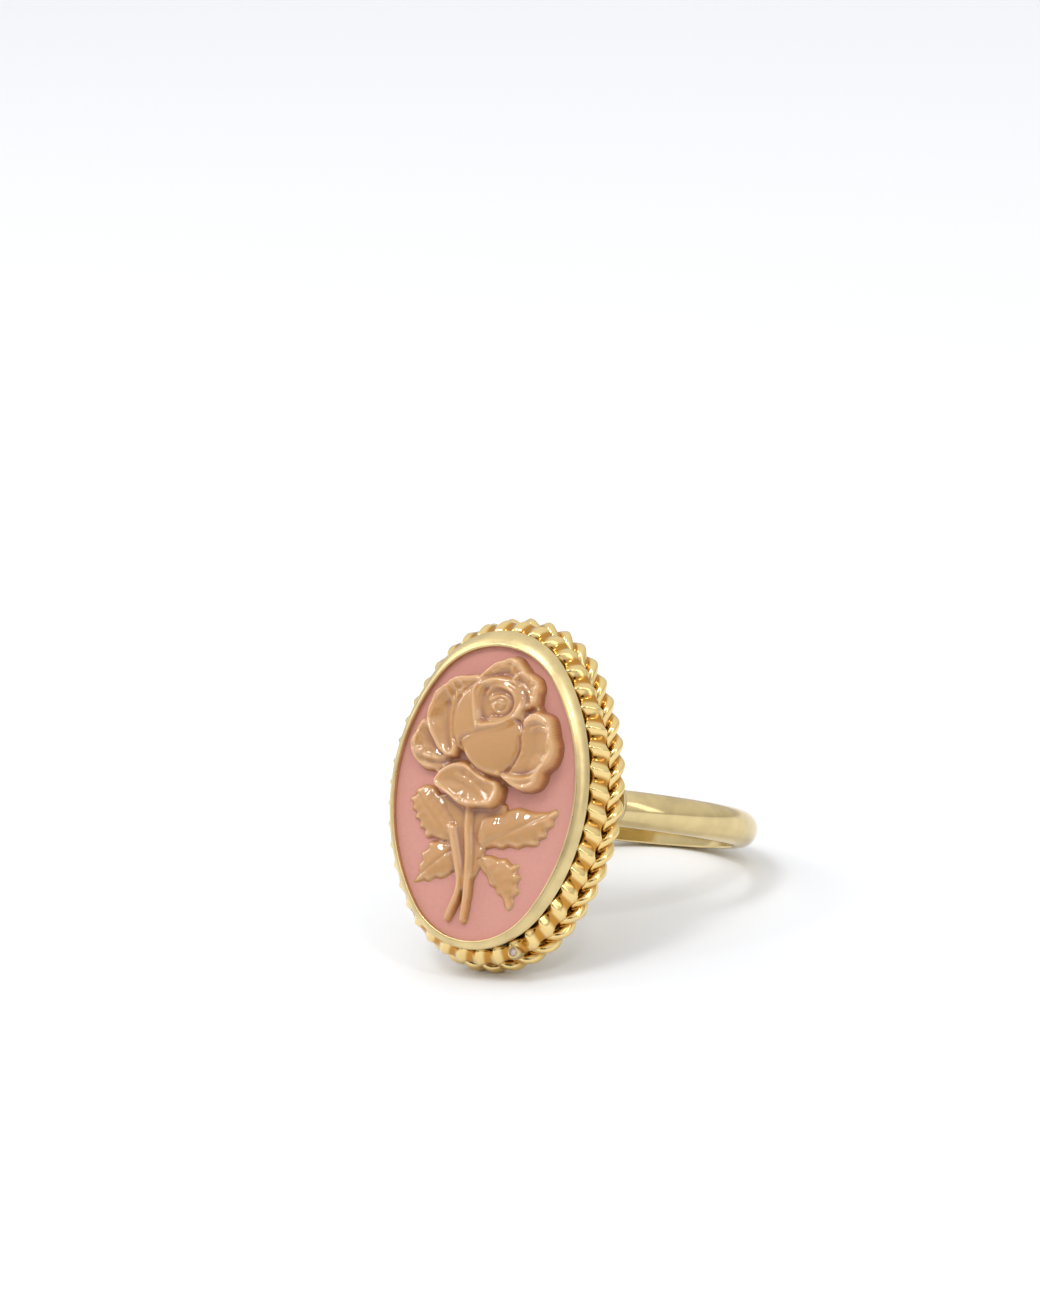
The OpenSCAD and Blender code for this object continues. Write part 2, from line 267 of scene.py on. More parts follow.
def blurred(height, passes):
    """Heights of a grid after some passes of a small round kernel."""
    for _ in range(passes):
        for axis in (0, 1):
            height = 0.25 * np.roll(height, 1, axis) + 0.5 * height + 0.25 * np.roll(height, -1, axis)
    return height


def place_object(name, data):
    """Puts a new object with its data in the scene."""
    obj = bpy.data.objects.new(name, data)
    bpy.context.scene.collection.objects.link(obj)
    return obj


class MeshMaker:
    """Collects closed surfaces in millimetres and makes them one object."""

    def __init__(self):
        self.points = []
        self.faces = []
        self.shades = []
        self.count = 0

    def add(self, points, faces, shade=None):
        """Adds a surface. The shade of its points, 0 unless given, is for the material to use: painted
        shade and highlight on the wires and the rose, gloss on the shank.
        """
        points = np.asarray(points, dtype=float).reshape(-1, 3)
        self.points.append(points)
        self.faces.extend((np.asarray(f) + self.count).tolist() for f in faces)
        self.shades.append(np.zeros(len(points)) if shade is None else np.asarray(shade).ravel())
        self.count += len(points)

    def build(self, name, head, material, nodes=()):
        """Makes the object and body, and hides the nodes that it replaces."""
        mesh = bpy.data.meshes.new(name)
        mesh.from_pydata(head.to_world(np.concatenate(self.points)).tolist(), [], self.faces)
        mesh.polygons.foreach_set("use_smooth", [True] * len(mesh.polygons))
        layer = mesh.color_attributes.new("Depth", "FLOAT_COLOR", "POINT")
        shade = np.concatenate(self.shades)
        colours = np.column_stack([shade, shade, shade, np.ones(len(shade))])
        layer.data.foreach_set("color", colours.ravel())
        mesh.materials.append(material)
        mesh.validate()
        mesh.update()
        obj = place_object(name, mesh)
        if nodes:
            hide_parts(*nodes)
        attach(obj, "root")
        return obj


def recalculate_outside(obj):
    """Turns every face of a closed mesh outward."""
    work = bmesh.new()
    work.from_mesh(obj.data)
    bmesh.ops.recalc_face_normals(work, faces=work.faces)
    work.to_mesh(obj.data)
    work.free()
    obj.data.update()


def mark_sharp(obj, degrees):
    """Splits the shading at edges sharper than an angle."""
    obj.data.set_sharp_from_angle(angle=math.radians(degrees))


def new_material(name):
    """A material, its node tree and its shader."""
    material = bpy.data.materials.new(name)
    material.use_nodes = True
    tree = material.node_tree
    shader = tree.nodes["Principled BSDF"]
    return material, tree, shader


def add_node(tree, kind, **settings):
    """A new node of a kind, with some of its settings."""
    node = tree.nodes.new(kind)
    for key, value in settings.items():
        setattr(node, key, value)
    return node


# A mix node has sockets for each kind of data. These are the factor's, the two colours' and the result's.
MIX_INPUTS = (0, 6, 7)
MIX_RESULT = 2


def mix_colours(tree, factor, first, second):
    """A colour mix whose inputs are sockets or plain colours."""
    node = add_node(tree, "ShaderNodeMix", data_type="RGBA")
    for place, value in zip(MIX_INPUTS, (factor, first, second)):
        socket = node.inputs[place]
        if isinstance(value, bpy.types.NodeSocket):
            tree.links.new(value, socket)
        elif socket.type == "RGBA":
            socket.default_value = (*value, 1)
        else:
            socket.default_value = value
    return node.outputs[MIX_RESULT]


def noise(tree, scale, detail=3, roughness=0.5):
    """Noise over the object. Its scale is in cells a metre."""
    place = add_node(tree, "ShaderNodeTexCoord")
    texture = add_node(tree, "ShaderNodeTexNoise")
    texture.inputs["Scale"].default_value = scale
    texture.inputs["Detail"].default_value = detail
    texture.inputs["Roughness"].default_value = roughness
    tree.links.new(place.outputs["Object"], texture.inputs["Vector"])
    return texture.outputs["Fac"]


def remap(tree, value, source, target=(0, 1)):
    """Carries a socket's value from one range to another."""
    node = add_node(tree, "ShaderNodeMapRange")
    tree.links.new(value, node.inputs["Value"])
    for name, number in zip(("From Min", "From Max", "To Min", "To Max"), (*source, *target)):
        node.inputs[name].default_value = number
    return node.outputs["Result"]


def bump(tree, shader, height, strength, distance):
    """Roughens a shader's surface by a height."""
    node = add_node(tree, "ShaderNodeBump")
    node.inputs["Strength"].default_value = strength
    node.inputs["Distance"].default_value = distance
    tree.links.new(height, node.inputs["Height"])
    tree.links.new(node.outputs["Normal"], shader.inputs["Normal"])


def painted_shade_and_gloss(tree):
    """The shade that each point was given by its mesh maker: painted shade and highlight for the wires and
    the rose, and gloss for the shank.
    """
    node = add_node(tree, "ShaderNodeVertexColor", layer_name="Depth")
    return node.outputs["Color"]


# The middle part of a noise's values, over which it goes from one colour to the other
NOISE_BAND = (0.3, 0.7)

# Roughness of the brushed setting, of the shinier shank and of the wires
SETTING_ROUGHNESS = (0.27, 0.37)
SHANK_ROUGHNESS = 0.15
WIRE_ROUGHNESS = (0.1, 0.22)

# How a colour changes, as a factor: in tarnish, and for red, green and blue in the painted shade of a
# groove
TARNISH = 0.8
GROOVE_PAINTED_SHADE = (0.60, 0.38, 0.16)
PLAQUE_CLOUDS = (1.03, 0.96)
GLAZE_CLOUDS = 0.85

# The two colours of the painted light and shade that are seen down in the vent, where the lit floor would
# show through
VENT_PAINTED_LIGHT = (0.74, 0.62, 0.60)
VENT_PAINTED_SHADE = (0.6, 0.48, 0.45)


def tinted(colour, factor):
    """A colour times a factor, or times a factor for each channel."""
    return tuple(np.minimum(1, np.array(colour) * factor).tolist())


def polished_gold(colours):
    """Satin gold. The shank's shade of 1 makes it shinier than the cup."""
    material, tree, shader = new_material("polished_gold")
    shader.inputs["Metallic"].default_value = 1
    clouds = remap(tree, noise(tree, scale=700), source=(0.35, 0.75))
    colour = mix_colours(tree, clouds, tuple(colours.gold), tinted(colours.gold, TARNISH))
    tree.links.new(colour, shader.inputs["Base Color"])
    satin = remap(tree, noise(tree, scale=2500), NOISE_BAND, SETTING_ROUGHNESS)
    roughness = mix_colours(tree, painted_shade_and_gloss(tree), satin, (SHANK_ROUGHNESS,) * 3)
    tree.links.new(roughness, shader.inputs["Roughness"])
    bump(tree, shader, noise(tree, scale=900), strength=0.25, distance=0.00002)
    return material


def twisted_gold(colours):
    """Bright gold, with painted shade that makes it deep and reddish in the grooves."""
    material, tree, shader = new_material("twisted_gold")
    shader.inputs["Metallic"].default_value = 1
    # Painted shade: the grooves are given a darker, redder gold.
    groove = tinted(colours.wire_gold, GROOVE_PAINTED_SHADE)
    colour = mix_colours(tree, painted_shade_and_gloss(tree), tuple(colours.wire_gold), groove)
    tree.links.new(colour, shader.inputs["Base Color"])
    roughness = remap(tree, noise(tree, scale=3000), NOISE_BAND, WIRE_ROUGHNESS)
    tree.links.new(roughness, shader.inputs["Roughness"])
    bump(tree, shader, noise(tree, scale=2600, detail=4), strength=0.3, distance=0.00003)
    return material


def matt_plaque(colours):
    """Dusty pink, matt and finely clouded."""
    material, tree, shader = new_material("matt_pink")
    pale, deep = (tinted(colours.plaque, factor) for factor in PLAQUE_CLOUDS)
    clouds = remap(tree, noise(tree, scale=5000, detail=5, roughness=0.7), NOISE_BAND)
    tree.links.new(mix_colours(tree, clouds, pale, deep), shader.inputs["Base Color"])
    shader.inputs["Roughness"].default_value = 0.72
    shader.inputs["Specular IOR Level"].default_value = 0.3
    grain = noise(tree, scale=6000, detail=5, roughness=0.6)
    bump(tree, shader, grain, strength=0.25, distance=0.00002)
    return material


def vent_painted_light():
    """Painted light: the pale, lit floor that shows through the vent, mottled with painted shade."""
    material, tree, shader = new_material("vent_painted_light")
    shade = remap(tree, noise(tree, scale=4000), NOISE_BAND)
    tree.links.new(mix_colours(tree, shade, VENT_PAINTED_LIGHT, VENT_PAINTED_SHADE), shader.inputs["Base Color"])
    shader.inputs["Roughness"].default_value = 0.3
    return material


GLAZE_FINISH = {
    "Roughness": 0.35,
    "Specular IOR Level": 0.25,
    "Coat Weight": 1.0,
    "Coat Roughness": 0.03,
    "Coat IOR": 1.7,
    "Subsurface Weight": 0.25,
    "Subsurface Scale": 0.0008,
}


def caramel_glaze(colours):
    """Glossy caramel. A shade over 0.5 is a hollow, darker where the glaze is deep and by painted shade,
    and under 0.5 a crest, paler by a painted highlight.
    """
    material, tree, shader = new_material("caramel_glaze")
    clouds = remap(tree, noise(tree, scale=500), NOISE_BAND, target=(0, 0.35))
    colour = mix_colours(tree, clouds, tuple(colours.glaze), tinted(colours.glaze, GLAZE_CLOUDS))
    # Painted shade darkens the hollows, and a painted highlight lightens the crests.
    hollow = remap(tree, painted_shade_and_gloss(tree), source=(0.5, 1))
    colour = mix_colours(tree, hollow, colour, tuple(colours.pooled_glaze_and_shade))
    crest = remap(tree, painted_shade_and_gloss(tree), source=(0.5, 0))
    colour = mix_colours(tree, crest, colour, tuple(colours.thin_glaze_and_highlight))
    tree.links.new(colour, shader.inputs["Base Color"])
    for name, value in GLAZE_FINISH.items():
        shader.inputs[name].default_value = value
    grain = noise(tree, scale=2200, detail=4, roughness=0.6)
    bump(tree, shader, grain, strength=0.5, distance=0.00008)
    return material


# Sections round the cup
CUP_STATIONS = 480
# The lip beside the window, the rounding of the rim's edges and how far the slanted band bulges
LIP_WIDTH = 0.17
EDGE_ROUND = 0.07
BAND_BULGE = 0.04
BAND_PARTS = 6
# How quickly the rim's cover falls off from an end toward the sides
COVER_POWER = 1.6
# The share of its slant that the rim loses at the lower end, and where on the way there it starts
LOW_RIM_LOSS = 0.35
LOW_RIM_START = 0.35
# How far over the foot the wall's plain part is divided once more
FOOT_MARGIN = 0.3
# An edge of the setting sharper than this is shaded as an edge.
SHARP_DEGREES = 50


def rim_cover(facing, sizes):
    """How far the rim covers the plaque, wide at the top, narrow at the sides."""
    sin = math.sin(facing)
    end = sizes.rim_over_top if sin > 0 else sizes.rim_over_bottom
    side = sizes.rim_over_sides
    return (side + (end - side) * abs(sin) ** COVER_POWER) / MM


def rounded(corner, before, after, radius, parts=4):
    """Points of a small arc that eases a corner of a section."""
    corner, before, after = (np.array(p, dtype=float) for p in (corner, before, after))
    start = corner + radius * (before - corner) / np.hypot(*(before - corner))
    end = corner + radius * (after - corner) / np.hypot(*(after - corner))
    shares = [i / parts for i in range(parts + 1)]
    return [tuple((1 - s) ** 2 * start + 2 * s * (1 - s) * corner + s ** 2 * end) for s in shares]


def rim_share(facing):
    """How much of the rim's full slant there is, less toward the lower end."""
    return 1 - LOW_RIM_LOSS * smooth_step(-math.sin(facing), LOW_RIM_START, 1)


def cup_section(head, cover, share):
    """The cup's section, from the window's edge over the lip and the slanted band, down and back inside."""
    wall, base = head.wall_out, head.cup_z
    stand, drop = head.rim_out * share, head.rim_drop * share
    low_lip = (-cover, -head.rim_t)
    lip = (-cover, 0)
    band_top = (-cover + LIP_WIDTH, 0)
    band_low = (wall + stand, -drop)
    under = (wall, -drop - stand)
    section = [low_lip]
    section += rounded(lip, low_lip, band_top, EDGE_ROUND)
    section += rounded(band_top, lip, band_low, EDGE_ROUND)
    for i in range(1, BAND_PARTS):
        s = i / BAND_PARTS
        bulge = BAND_BULGE * math.sin(math.pi * s)
        section.append(tuple(a + s * (b - a) + bulge for a, b in zip(band_top, band_low)))
    section += rounded(band_low, band_top, under, EDGE_ROUND)
    section += rounded(under, band_low, (wall, base), 2 * EDGE_ROUND)
    section += [
        (wall, base + FOOT + FOOT_MARGIN), (wall, base + FOOT), (wall + FOOT, base),
        (head.wall_in, base), (head.wall_in, -head.rim_t)]
    return section


def cup_wall(maker, head, sizes):
    """The cup's section, swept round the oval."""
    points = []
    for i in range(CUP_STATIONS):
        facing = head.facing(i / CUP_STATIONS, 0)
        section = cup_section(head, rim_cover(facing, sizes), rim_share(facing))
        for out, z in section:
            x, y = head.oval_point(facing, out)
            points.append((x, y, z))
    maker.add(points, wrapped_faces(CUP_STATIONS, len(section)))


# Points round the oval floor
PLATE_SIDES = 180


def oval_plate(maker, head, out, low, high):
    """A flat oval plate between two heights."""
    outline = [head.oval_point(head.facing(i / PLATE_SIDES, out), out) for i in range(PLATE_SIDES)]
    maker.add(*capped([[(x, y, z) for x, y in outline] for z in (low, high)]))


# Points round the saddle, and how far its lower edge is eased
SADDLE_SIDES = 96
SADDLE_EASE = 0.05


def saddle_plate(maker, head):
    """The plate under the wires, round at both ends and eased along its lower edge."""
    half = head.width / 2 + head.back_out + head.back_r - SADDLE_INSET - SADDLE_WIDTH / 2
    low = head.cup_z - SADDLE_THICKNESS
    rings = []
    for inset, z in ((SADDLE_EASE, low), (0, low + SADDLE_EASE), (0, head.cup_z)):
        r = SADDLE_WIDTH / 2 - inset
        rings.append([
            (math.copysign(half, math.cos(a)) + r * math.cos(a), r * math.sin(a), z)
            for a in round_turns(SADDLE_SIDES, 0.5)])
    maker.add(*capped(rings))


# Sections round the shank, and the parts of its crown
SHANK_STATIONS = 256
CROWN_PARTS = 20
# The radius of the eased inner corners, and the turns of their points
SHANK_EASE = 0.12
EASE_TURNS = (0, 30, 60, 90)


def shank_section(head):
    """Half-round section from one inner corner over the crown to the other, with eased corners."""
    half = head.shank_w / 2
    corner = [(SHANK_EASE * (1 - math.sin(a)), half - SHANK_EASE * (1 - math.cos(a)))
              for a in map(math.radians, EASE_TURNS)]
    low_turn = math.asin(half / head.crown_r)
    centre = head.shank_t - head.crown_r
    crown = []
    for i in range(CROWN_PARTS + 1):
        a = low_turn * (2 * i / CROWN_PARTS - 1)
        crown.append((centre + head.crown_r * math.cos(a), head.crown_r * math.sin(a)))
    return [(rise, -y) for rise, y in reversed(corner)] + crown + corner


def shank(maker, head):
    """The shank's section, turned round the finger. Its shade of 1 makes it shinier."""
    section = shank_section(head)
    points = []
    for a in round_turns(SHANK_STATIONS):
        for rise, y in section:
            r = head.finger_r + rise
            points.append((r * math.sin(a), y, -head.shank_c + r * math.cos(a)))
    maker.add(points, wrapped_faces(SHANK_STATIONS, len(section)), np.ones(len(points)))


# Sections of a wire from one crest to the next
STATIONS_PER_CREST = 20
# Points round each strand of the back wire, and a strand's radius as a share of the wire's
SIDES_PER_STRAND = 20
STRAND_RADIUS = 0.6
# Where on the way into the groove its painted shade starts
STRAND_PAINTED_SHADE = (0.62, 1)
# Points round the front wire, its groove's depth as a share of its radius, and how blunt its crests are
COIL_SIDES = 40
COIL_GROOVE = 0.37
COIL_BLUNTNESS = 0.65
# Where on the way into the front wire's groove its painted shade starts and where it is full
COIL_PAINTED_SHADE = (0.35, 0.9)
# How much higher the front wire lies than in the CAD, how much taller its upper half is as a share,
# and how far its top leans inward
FRONT_WIRE_RISE = 0.06
FRONT_WIRE_REACH = 0.75
FRONT_WIRE_LEAN = 0.3


def strand_section(strands):
    """Outline of a bundle of round strands, as radius, turn and how deep in a groove each point lies."""
    offset = 1 - STRAND_RADIUS
    half_turn = math.pi / strands
    cusp = offset * math.cos(half_turn)
    cusp += math.sqrt(STRAND_RADIUS ** 2 - (offset * math.sin(half_turn)) ** 2)
    reach = math.pi - math.atan2(cusp * math.sin(half_turn), offset - cusp * math.cos(half_turn))
    section = []
    for strand in range(strands):
        for k in range(SIDES_PER_STRAND):
            share = 2 * k / SIDES_PER_STRAND - 1
            x = offset + STRAND_RADIUS * math.cos(share * reach)
            y = STRAND_RADIUS * math.sin(share * reach)
            section.append((math.hypot(x, y), 2 * half_turn * strand + math.atan2(y, x), abs(share)))
    return np.array(section)


def sweep(head, out, z, rings, section):
    """Sweeps a section round the cup. section(share) gives its points across, upward and their shade."""
    points, shades = [], []
    for i in range(rings):
        facing = head.facing(i / rings, out)
        x, y = head.oval_point(facing, out)
        across, rise, shade = section(i / rings)
        points.append(np.column_stack([
            x + across * math.cos(facing), y + across * math.sin(facing), z + rise]))
        shades.append(shade)
    return np.concatenate(points), np.concatenate(shades)


def coiled_wire(head, crests, phase):
    """Points, faces and painted groove shades of the front wire, wound in one close thread."""
    f = round_turns(COIL_SIDES)
    upper = np.clip(np.sin(f), 0, 1)

    def section(share):
        dip = (1 - np.cos(f - 2 * math.pi * crests * share - phase)) / 2
        radius = head.front_r * (1 - COIL_GROOVE * dip ** COIL_BLUNTNESS)
        across = radius * np.cos(f) - FRONT_WIRE_LEAN * upper ** 2
        return across, radius * np.sin(f) * (1 + FRONT_WIRE_REACH * upper), smooth_step(dip, *COIL_PAINTED_SHADE)

    rings = crests * STATIONS_PER_CREST
    points, shade = sweep(head, head.front_out, head.front_z + FRONT_WIRE_RISE, rings, section)
    return points, wrapped_faces(rings, COIL_SIDES), shade


def twisted_wire(head, crests, strands, phase):
    """Points, faces and painted groove shades of the back wire, a twist of round strands."""
    reach, turn, depth = strand_section(strands).T
    shade = smooth_step(depth, *STRAND_PAINTED_SHADE)

    def section(share):
        f = turn + (phase - 2 * math.pi * crests * share) / strands
        return head.back_r * reach * np.cos(f), head.back_r * reach * np.sin(f), shade

    rings, sides = crests * STATIONS_PER_CREST, len(turn)
    points, shades = sweep(head, head.back_out, head.back_z, rings, section)
    faces = wrapped_faces(rings, sides)
    # The last ring meets the first one further round, by the twist that is left over.
    last = faces.reshape(rings, sides, 4)[-1]
    last[:, 1:3] = (last[:, 1:3] - crests * SIDES_PER_STRAND) % sides
    return points, faces, shades


VENT_SIDES = 32
# The way that the drilled vent faces, and half the drill's length
VENT_FACING = -60
DRILL_REACH = 0.5
# The vent's mouth: a small round collar that stands in the front wire
COLLAR_FACING = -62
COLLAR_OUT = 0.98
COLLAR_TOP = -0.76
COLLAR_DEPTH = 0.8
COLLAR_WALL = 0.09
# How far down in the collar the pale disc with the painted light lies, and its thickness
PAINTED_DISC_DEPTH = 0.11
DISC_THICKNESS = 0.1


def drill(head, radius):
    """A rod through the wall, where the vent goes."""
    facing = math.radians(VENT_FACING)
    x, y = head.oval_point(facing, head.wall_out)
    middle = np.array([x, y, head.front_z + head.front_r + radius])
    out = np.array([math.cos(facing), math.sin(facing), 0])
    side = np.array([-math.sin(facing), math.cos(facing), 0])
    up = np.array([0, 0, 1])
    points, faces = capped([
        [middle + end * out + radius * (math.cos(a) * side + math.sin(a) * up)
         for a in round_turns(VENT_SIDES)]
        for end in (-DRILL_REACH, DRILL_REACH)])
    mesh = bpy.data.meshes.new("drill")
    mesh.from_pydata(head.to_world(points).tolist(), [], faces)
    rod = place_object("drill", mesh)
    recalculate_outside(rod)
    return rod


def cut_vent(obj, head, radius):
    """Drills the small round hole through the wall, low on the right side."""
    cutter = drill(head, radius)
    cut = obj.modifiers.new("vent", "BOOLEAN")
    cut.operation = "DIFFERENCE"
    cut.object = cutter
    bpy.context.view_layer.update()
    whole = bpy.data.meshes.new_from_object(obj.evaluated_get(bpy.context.evaluated_depsgraph_get()))
    obj.modifiers.clear()
    obj.data = whole
    bpy.data.objects.remove(cutter)


def vent_ring(head, radius, z):
    """A circle round the vent's mouth that faces the way the cameo does."""
    x, y = head.oval_point(math.radians(COLLAR_FACING), COLLAR_OUT)
    return [(x + radius * math.cos(a), y + radius * math.sin(a), z) for a in round_turns(VENT_SIDES)]


def vent_collar(head, inner):
    """Points and faces of a short open tube with a rounded top."""
    outer = inner + COLLAR_WALL
    low, shoulder = COLLAR_TOP - COLLAR_DEPTH, COLLAR_TOP - COLLAR_WALL / 3
    section = [
        (inner, low), (inner, shoulder), ((inner + outer) / 2, COLLAR_TOP), (outer, shoulder), (outer, low)]
    rings = [vent_ring(head, r, z) for r, z in section]
    return rings, wrapped_faces(len(rings), VENT_SIDES)


def vent_painted_disc(head, radius):
    """The pale disc that is seen down in the vent, which carries its painted light."""
    top = COLLAR_TOP - PAINTED_DISC_DEPTH
    return capped([vent_ring(head, radius, z) for z in (top - DISC_THICKNESS, top)])


class RING_OT_gold_setting(Operator):
    """Makes the cup with its slanted rim, the saddle under it and the half-round shank"""

    bl_idname = "ring.gold_setting"
    bl_label = "Gold Setting"

    def execute(self, context):
        sizes = context.scene.ring_sizes
        head = Head(sizes)
        maker = MeshMaker()
        cup_wall(maker, head, sizes)
        oval_plate(maker, head, (head.wall_in + head.wall_out) / 2, head.cup_z, head.floor_z)
        saddle_plate(maker, head)
        shank(maker, head)
        material = polished_gold(context.scene.ring_colours)
        setting = maker.build("gold_setting", head, material, ["ring_setting"])
        recalculate_outside(setting)
        vent_radius = sizes.vent_diameter / MM / 2
        cut_vent(setting, head, vent_radius)
        mark_sharp(setting, SHARP_DEGREES)
        collar = MeshMaker()
        collar.add(*vent_collar(head, vent_radius))
        recalculate_outside(collar.build("vent_collar", head, material))
        # The pale disc down in the collar is painted light, in place of the floor seen through the vent.
        disc = MeshMaker()
        disc.add(*vent_painted_disc(head, vent_radius))
        recalculate_outside(disc.build("vent_painted_disc", head, vent_painted_light()))
        return {"FINISHED"}


class RING_OT_twisted_wires(Operator):
    """Makes the two twisted wires round the cup, wound in opposite ways"""

    bl_idname = "ring.twisted_wires"
    bl_label = "Twisted Wires"

    def execute(self, context):
        sizes = context.scene.ring_sizes
        head = Head(sizes)
        material = twisted_gold(context.scene.ring_colours)
        back_phase = math.pi - sizes.strands * head.lean
        touch = math.atan2(head.front_z - head.back_z, head.front_out - head.back_out)
        front_phase = touch + math.pi - back_phase + sizes.strands * touch
        maker = MeshMaker()
        maker.add(*twisted_wire(head, sizes.crests, sizes.strands, back_phase))
        recalculate_outside(maker.build("back_wire", head, material, ["twisted_wires"]))
        maker = MeshMaker()
        maker.add(*coiled_wire(head, sizes.crests, front_phase))
        recalculate_outside(maker.build("front_wire", head, material))
        return {"FINISHED"}


class RING_OT_plaque(Operator):
    """Gives the pink plaque its matt finish"""

    bl_idname = "ring.plaque"
    bl_label = "Pink Plaque"

    def execute(self, context):
        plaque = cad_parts["cameo_plaque"]
        material = matt_plaque(context.scene.ring_colours)
        for place in plaque.material_slots:
            place.material = material
        return {"FINISHED"}


# Keeps a run of no length from dividing by zero
TINY = 1e-12


class ReliefField:
    """A grid of heights above the plaque, on which petals and leaves are laid one over the other."""

    def __init__(self, half_x, low_y, high_y, step, ground):
        x = np.arange(-half_x, half_x + step, step)
        y = np.arange(low_y, high_y + step, step)
        self.ground = ground
        self.gx, self.gy = np.meshgrid(x, y, indexing="ij")
        self.height = np.full(self.gx.shape, ground)

    def nearest(self, a, b):
        """For each grid point, the share along a straight run and the distance of its nearest point."""
        run = b - a
        along = ((self.gx - a[0]) * run[0] + (self.gy - a[1]) * run[1]) / max(run @ run, TINY)
        along = np.clip(along, 0, 1)
        return along, np.hypot(self.gx - a[0] - along * run[0], self.gy - a[1] - along * run[1])

    def inside(self, outline):
        """Distance of each grid point inside a closed outline, negative outside."""
        best = np.full(self.gx.shape, np.inf)
        crossings = np.zeros(self.gx.shape, dtype=int)
        for a, b in zip(outline, np.roll(outline, -1, axis=0)):
            best = np.minimum(best, self.nearest(a, b)[1])
            if a[1] != b[1]:
                straddles = (a[1] > self.gy) != (b[1] > self.gy)
                at = a[0] + (self.gy - a[1]) * (b[0] - a[0]) / (b[1] - a[1])
                crossings += straddles & (self.gx < at)
        return np.where(crossings % 2 == 1, best, -best)

    def lay(self, inside, surface):
        """Lays a surface over what is there, inside its outline."""
        self.height = np.where(inside > 0, surface, self.height)

    def soften(self, passes):
        """Rounds off all heights by some passes of blur."""
        self.height = blurred(self.height, passes)

    def ridge(self, line, width, rise):
        """Adds a soft ridge, or a groove where rise is negative, along a smooth line."""
        gap = np.full(self.gx.shape, np.inf)
        curve = smooth_line(line, closed=False)
        for a, b in zip(curve[:-1], curve[1:]):
            gap = np.minimum(gap, self.nearest(a, b)[1])
        ridge = rise * np.exp(-gap ** 2 / (2 * width ** 2))
        self.height = np.where(self.height > 0, self.height + ridge, self.height)


def smooth_line(stops, closed=True, parts=5):
    """A curve through given stops."""
    stops = np.asarray(stops, dtype=float)
    count = len(stops)
    spans = count if closed else count - 1
    line = []
    for i in range(spans):
        if closed:
            p = [stops[(i + k) % count] for k in (-1, 0, 1, 2)]
        else:
            p = [stops[min(max(i + k, 0), count - 1)] for k in (-1, 0, 1, 2)]
        for j in range(parts):
            t = j / parts
            line.append(0.5 * (
                2 * p[1] + (p[2] - p[0]) * t + (2 * p[0] - 5 * p[1] + 4 * p[2] - p[3]) * t ** 2
                + (3 * p[1] - p[0] - 3 * p[2] + p[3]) * t ** 3))
    if not closed:
        line.append(stops[-1])
    return np.array(line)


# Petals, lowest first, in millimetres from the middle of the plaque. Each has its outline, the height
# of its lip, how far it is dished, how far in from the lip the dish begins, and how much it rises
# across and upward.
PETALS = {
    "bed": dict(lip=0.42, dish=0.0, width=1.0, rise=(0, 0), outline=[
        (-2.2, 6.3), (-3.3, 5.2), (-3.6, 3.2), (-3.9, 1.6), (-2.4, 0.6), (1.4, 0.6), (3.8, 1.2),
        (4.3, 3.4), (3.2, 5.6), (1.6, 7.2), (-0.4, 6.9)]),
    "far left lower": dict(lip=0.5, dish=0.10, width=0.7, rise=(0, 0), outline=[
        (-4.6, 4.3), (-5.2, 3.6), (-5.5, 2.7), (-5.3, 2.1), (-4.8, 1.5), (-4.1, 1.2), (-2.6, 1.3),
        (-2.2, 2.2), (-3.0, 3.0), (-4.0, 3.9)]),
    "far left upper": dict(lip=0.66, dish=0.14, width=0.7, rise=(0, 0), outline=[
        (-4.5, 4.2), (-5.0, 3.5), (-5.2, 2.8), (-5.0, 2.3), (-4.4, 1.95), (-3.6, 1.75), (-2.6, 1.8),
        (-2.3, 2.6), (-3.2, 3.4)]),
    "back top": dict(lip=0.80, dish=0.22, width=0.6, rise=(0, 0), outline=[
        (-0.9, 6.9), (-0.1, 7.75), (0.7, 8.05), (1.15, 8.2), (1.6, 8.1), (2.0, 7.75), (2.35, 7.3),
        (2.3, 6.6), (1.0, 6.2), (-0.3, 6.3)]),
    "back right": dict(lip=0.74, dish=0.16, width=0.6, rise=(0, 0), outline=[
        (1.9, 7.4), (2.6, 7.25), (3.1, 6.95), (3.35, 6.5), (3.3, 5.9), (3.2, 5.4), (2.4, 5.0),
        (1.6, 5.8), (1.4, 6.8)]),
    "upper left": dict(lip=1.02, dish=0.32, width=0.75, rise=(0.02, 0), outline=[
        (-0.75, 7.0), (-1.7, 6.95), (-2.5, 6.85), (-3.2, 6.35), (-3.85, 5.8), (-4.15, 4.9), (-4.25, 4.3),
        (-4.1, 3.9), (-3.7, 3.2), (-3.2, 2.5), (-2.5, 2.0), (-1.8, 2.2), (-1.9, 3.4), (-2.0, 4.6),
        (-1.4, 5.8), (-0.6, 6.3)]),
    "right": dict(lip=1.06, dish=0.26, width=0.9, rise=(-0.02, 0), outline=[
        (2.5, 4.2), (2.85, 4.75), (3.4, 5.0), (4.0, 4.9), (4.4, 4.7), (4.65, 4.1), (4.8, 3.6), (5.0, 3.1),
        (5.0, 2.5), (4.75, 1.9), (4.3, 1.5), (4.2, 1.0), (3.9, 0.55), (3.3, 0.3), (2.7, 0.3), (2.1, 0.55),
        (1.6, 0.9), (1.1, 1.3), (1.9, 1.7), (2.3, 2.6), (2.3, 3.4)]),
}


# The thin bead along a petal's lip: its distance from the edge, its width and its height
BEAD_FROM_EDGE = 0.2
BEAD_WIDTH = 0.1
BEAD_RISE = 0.09
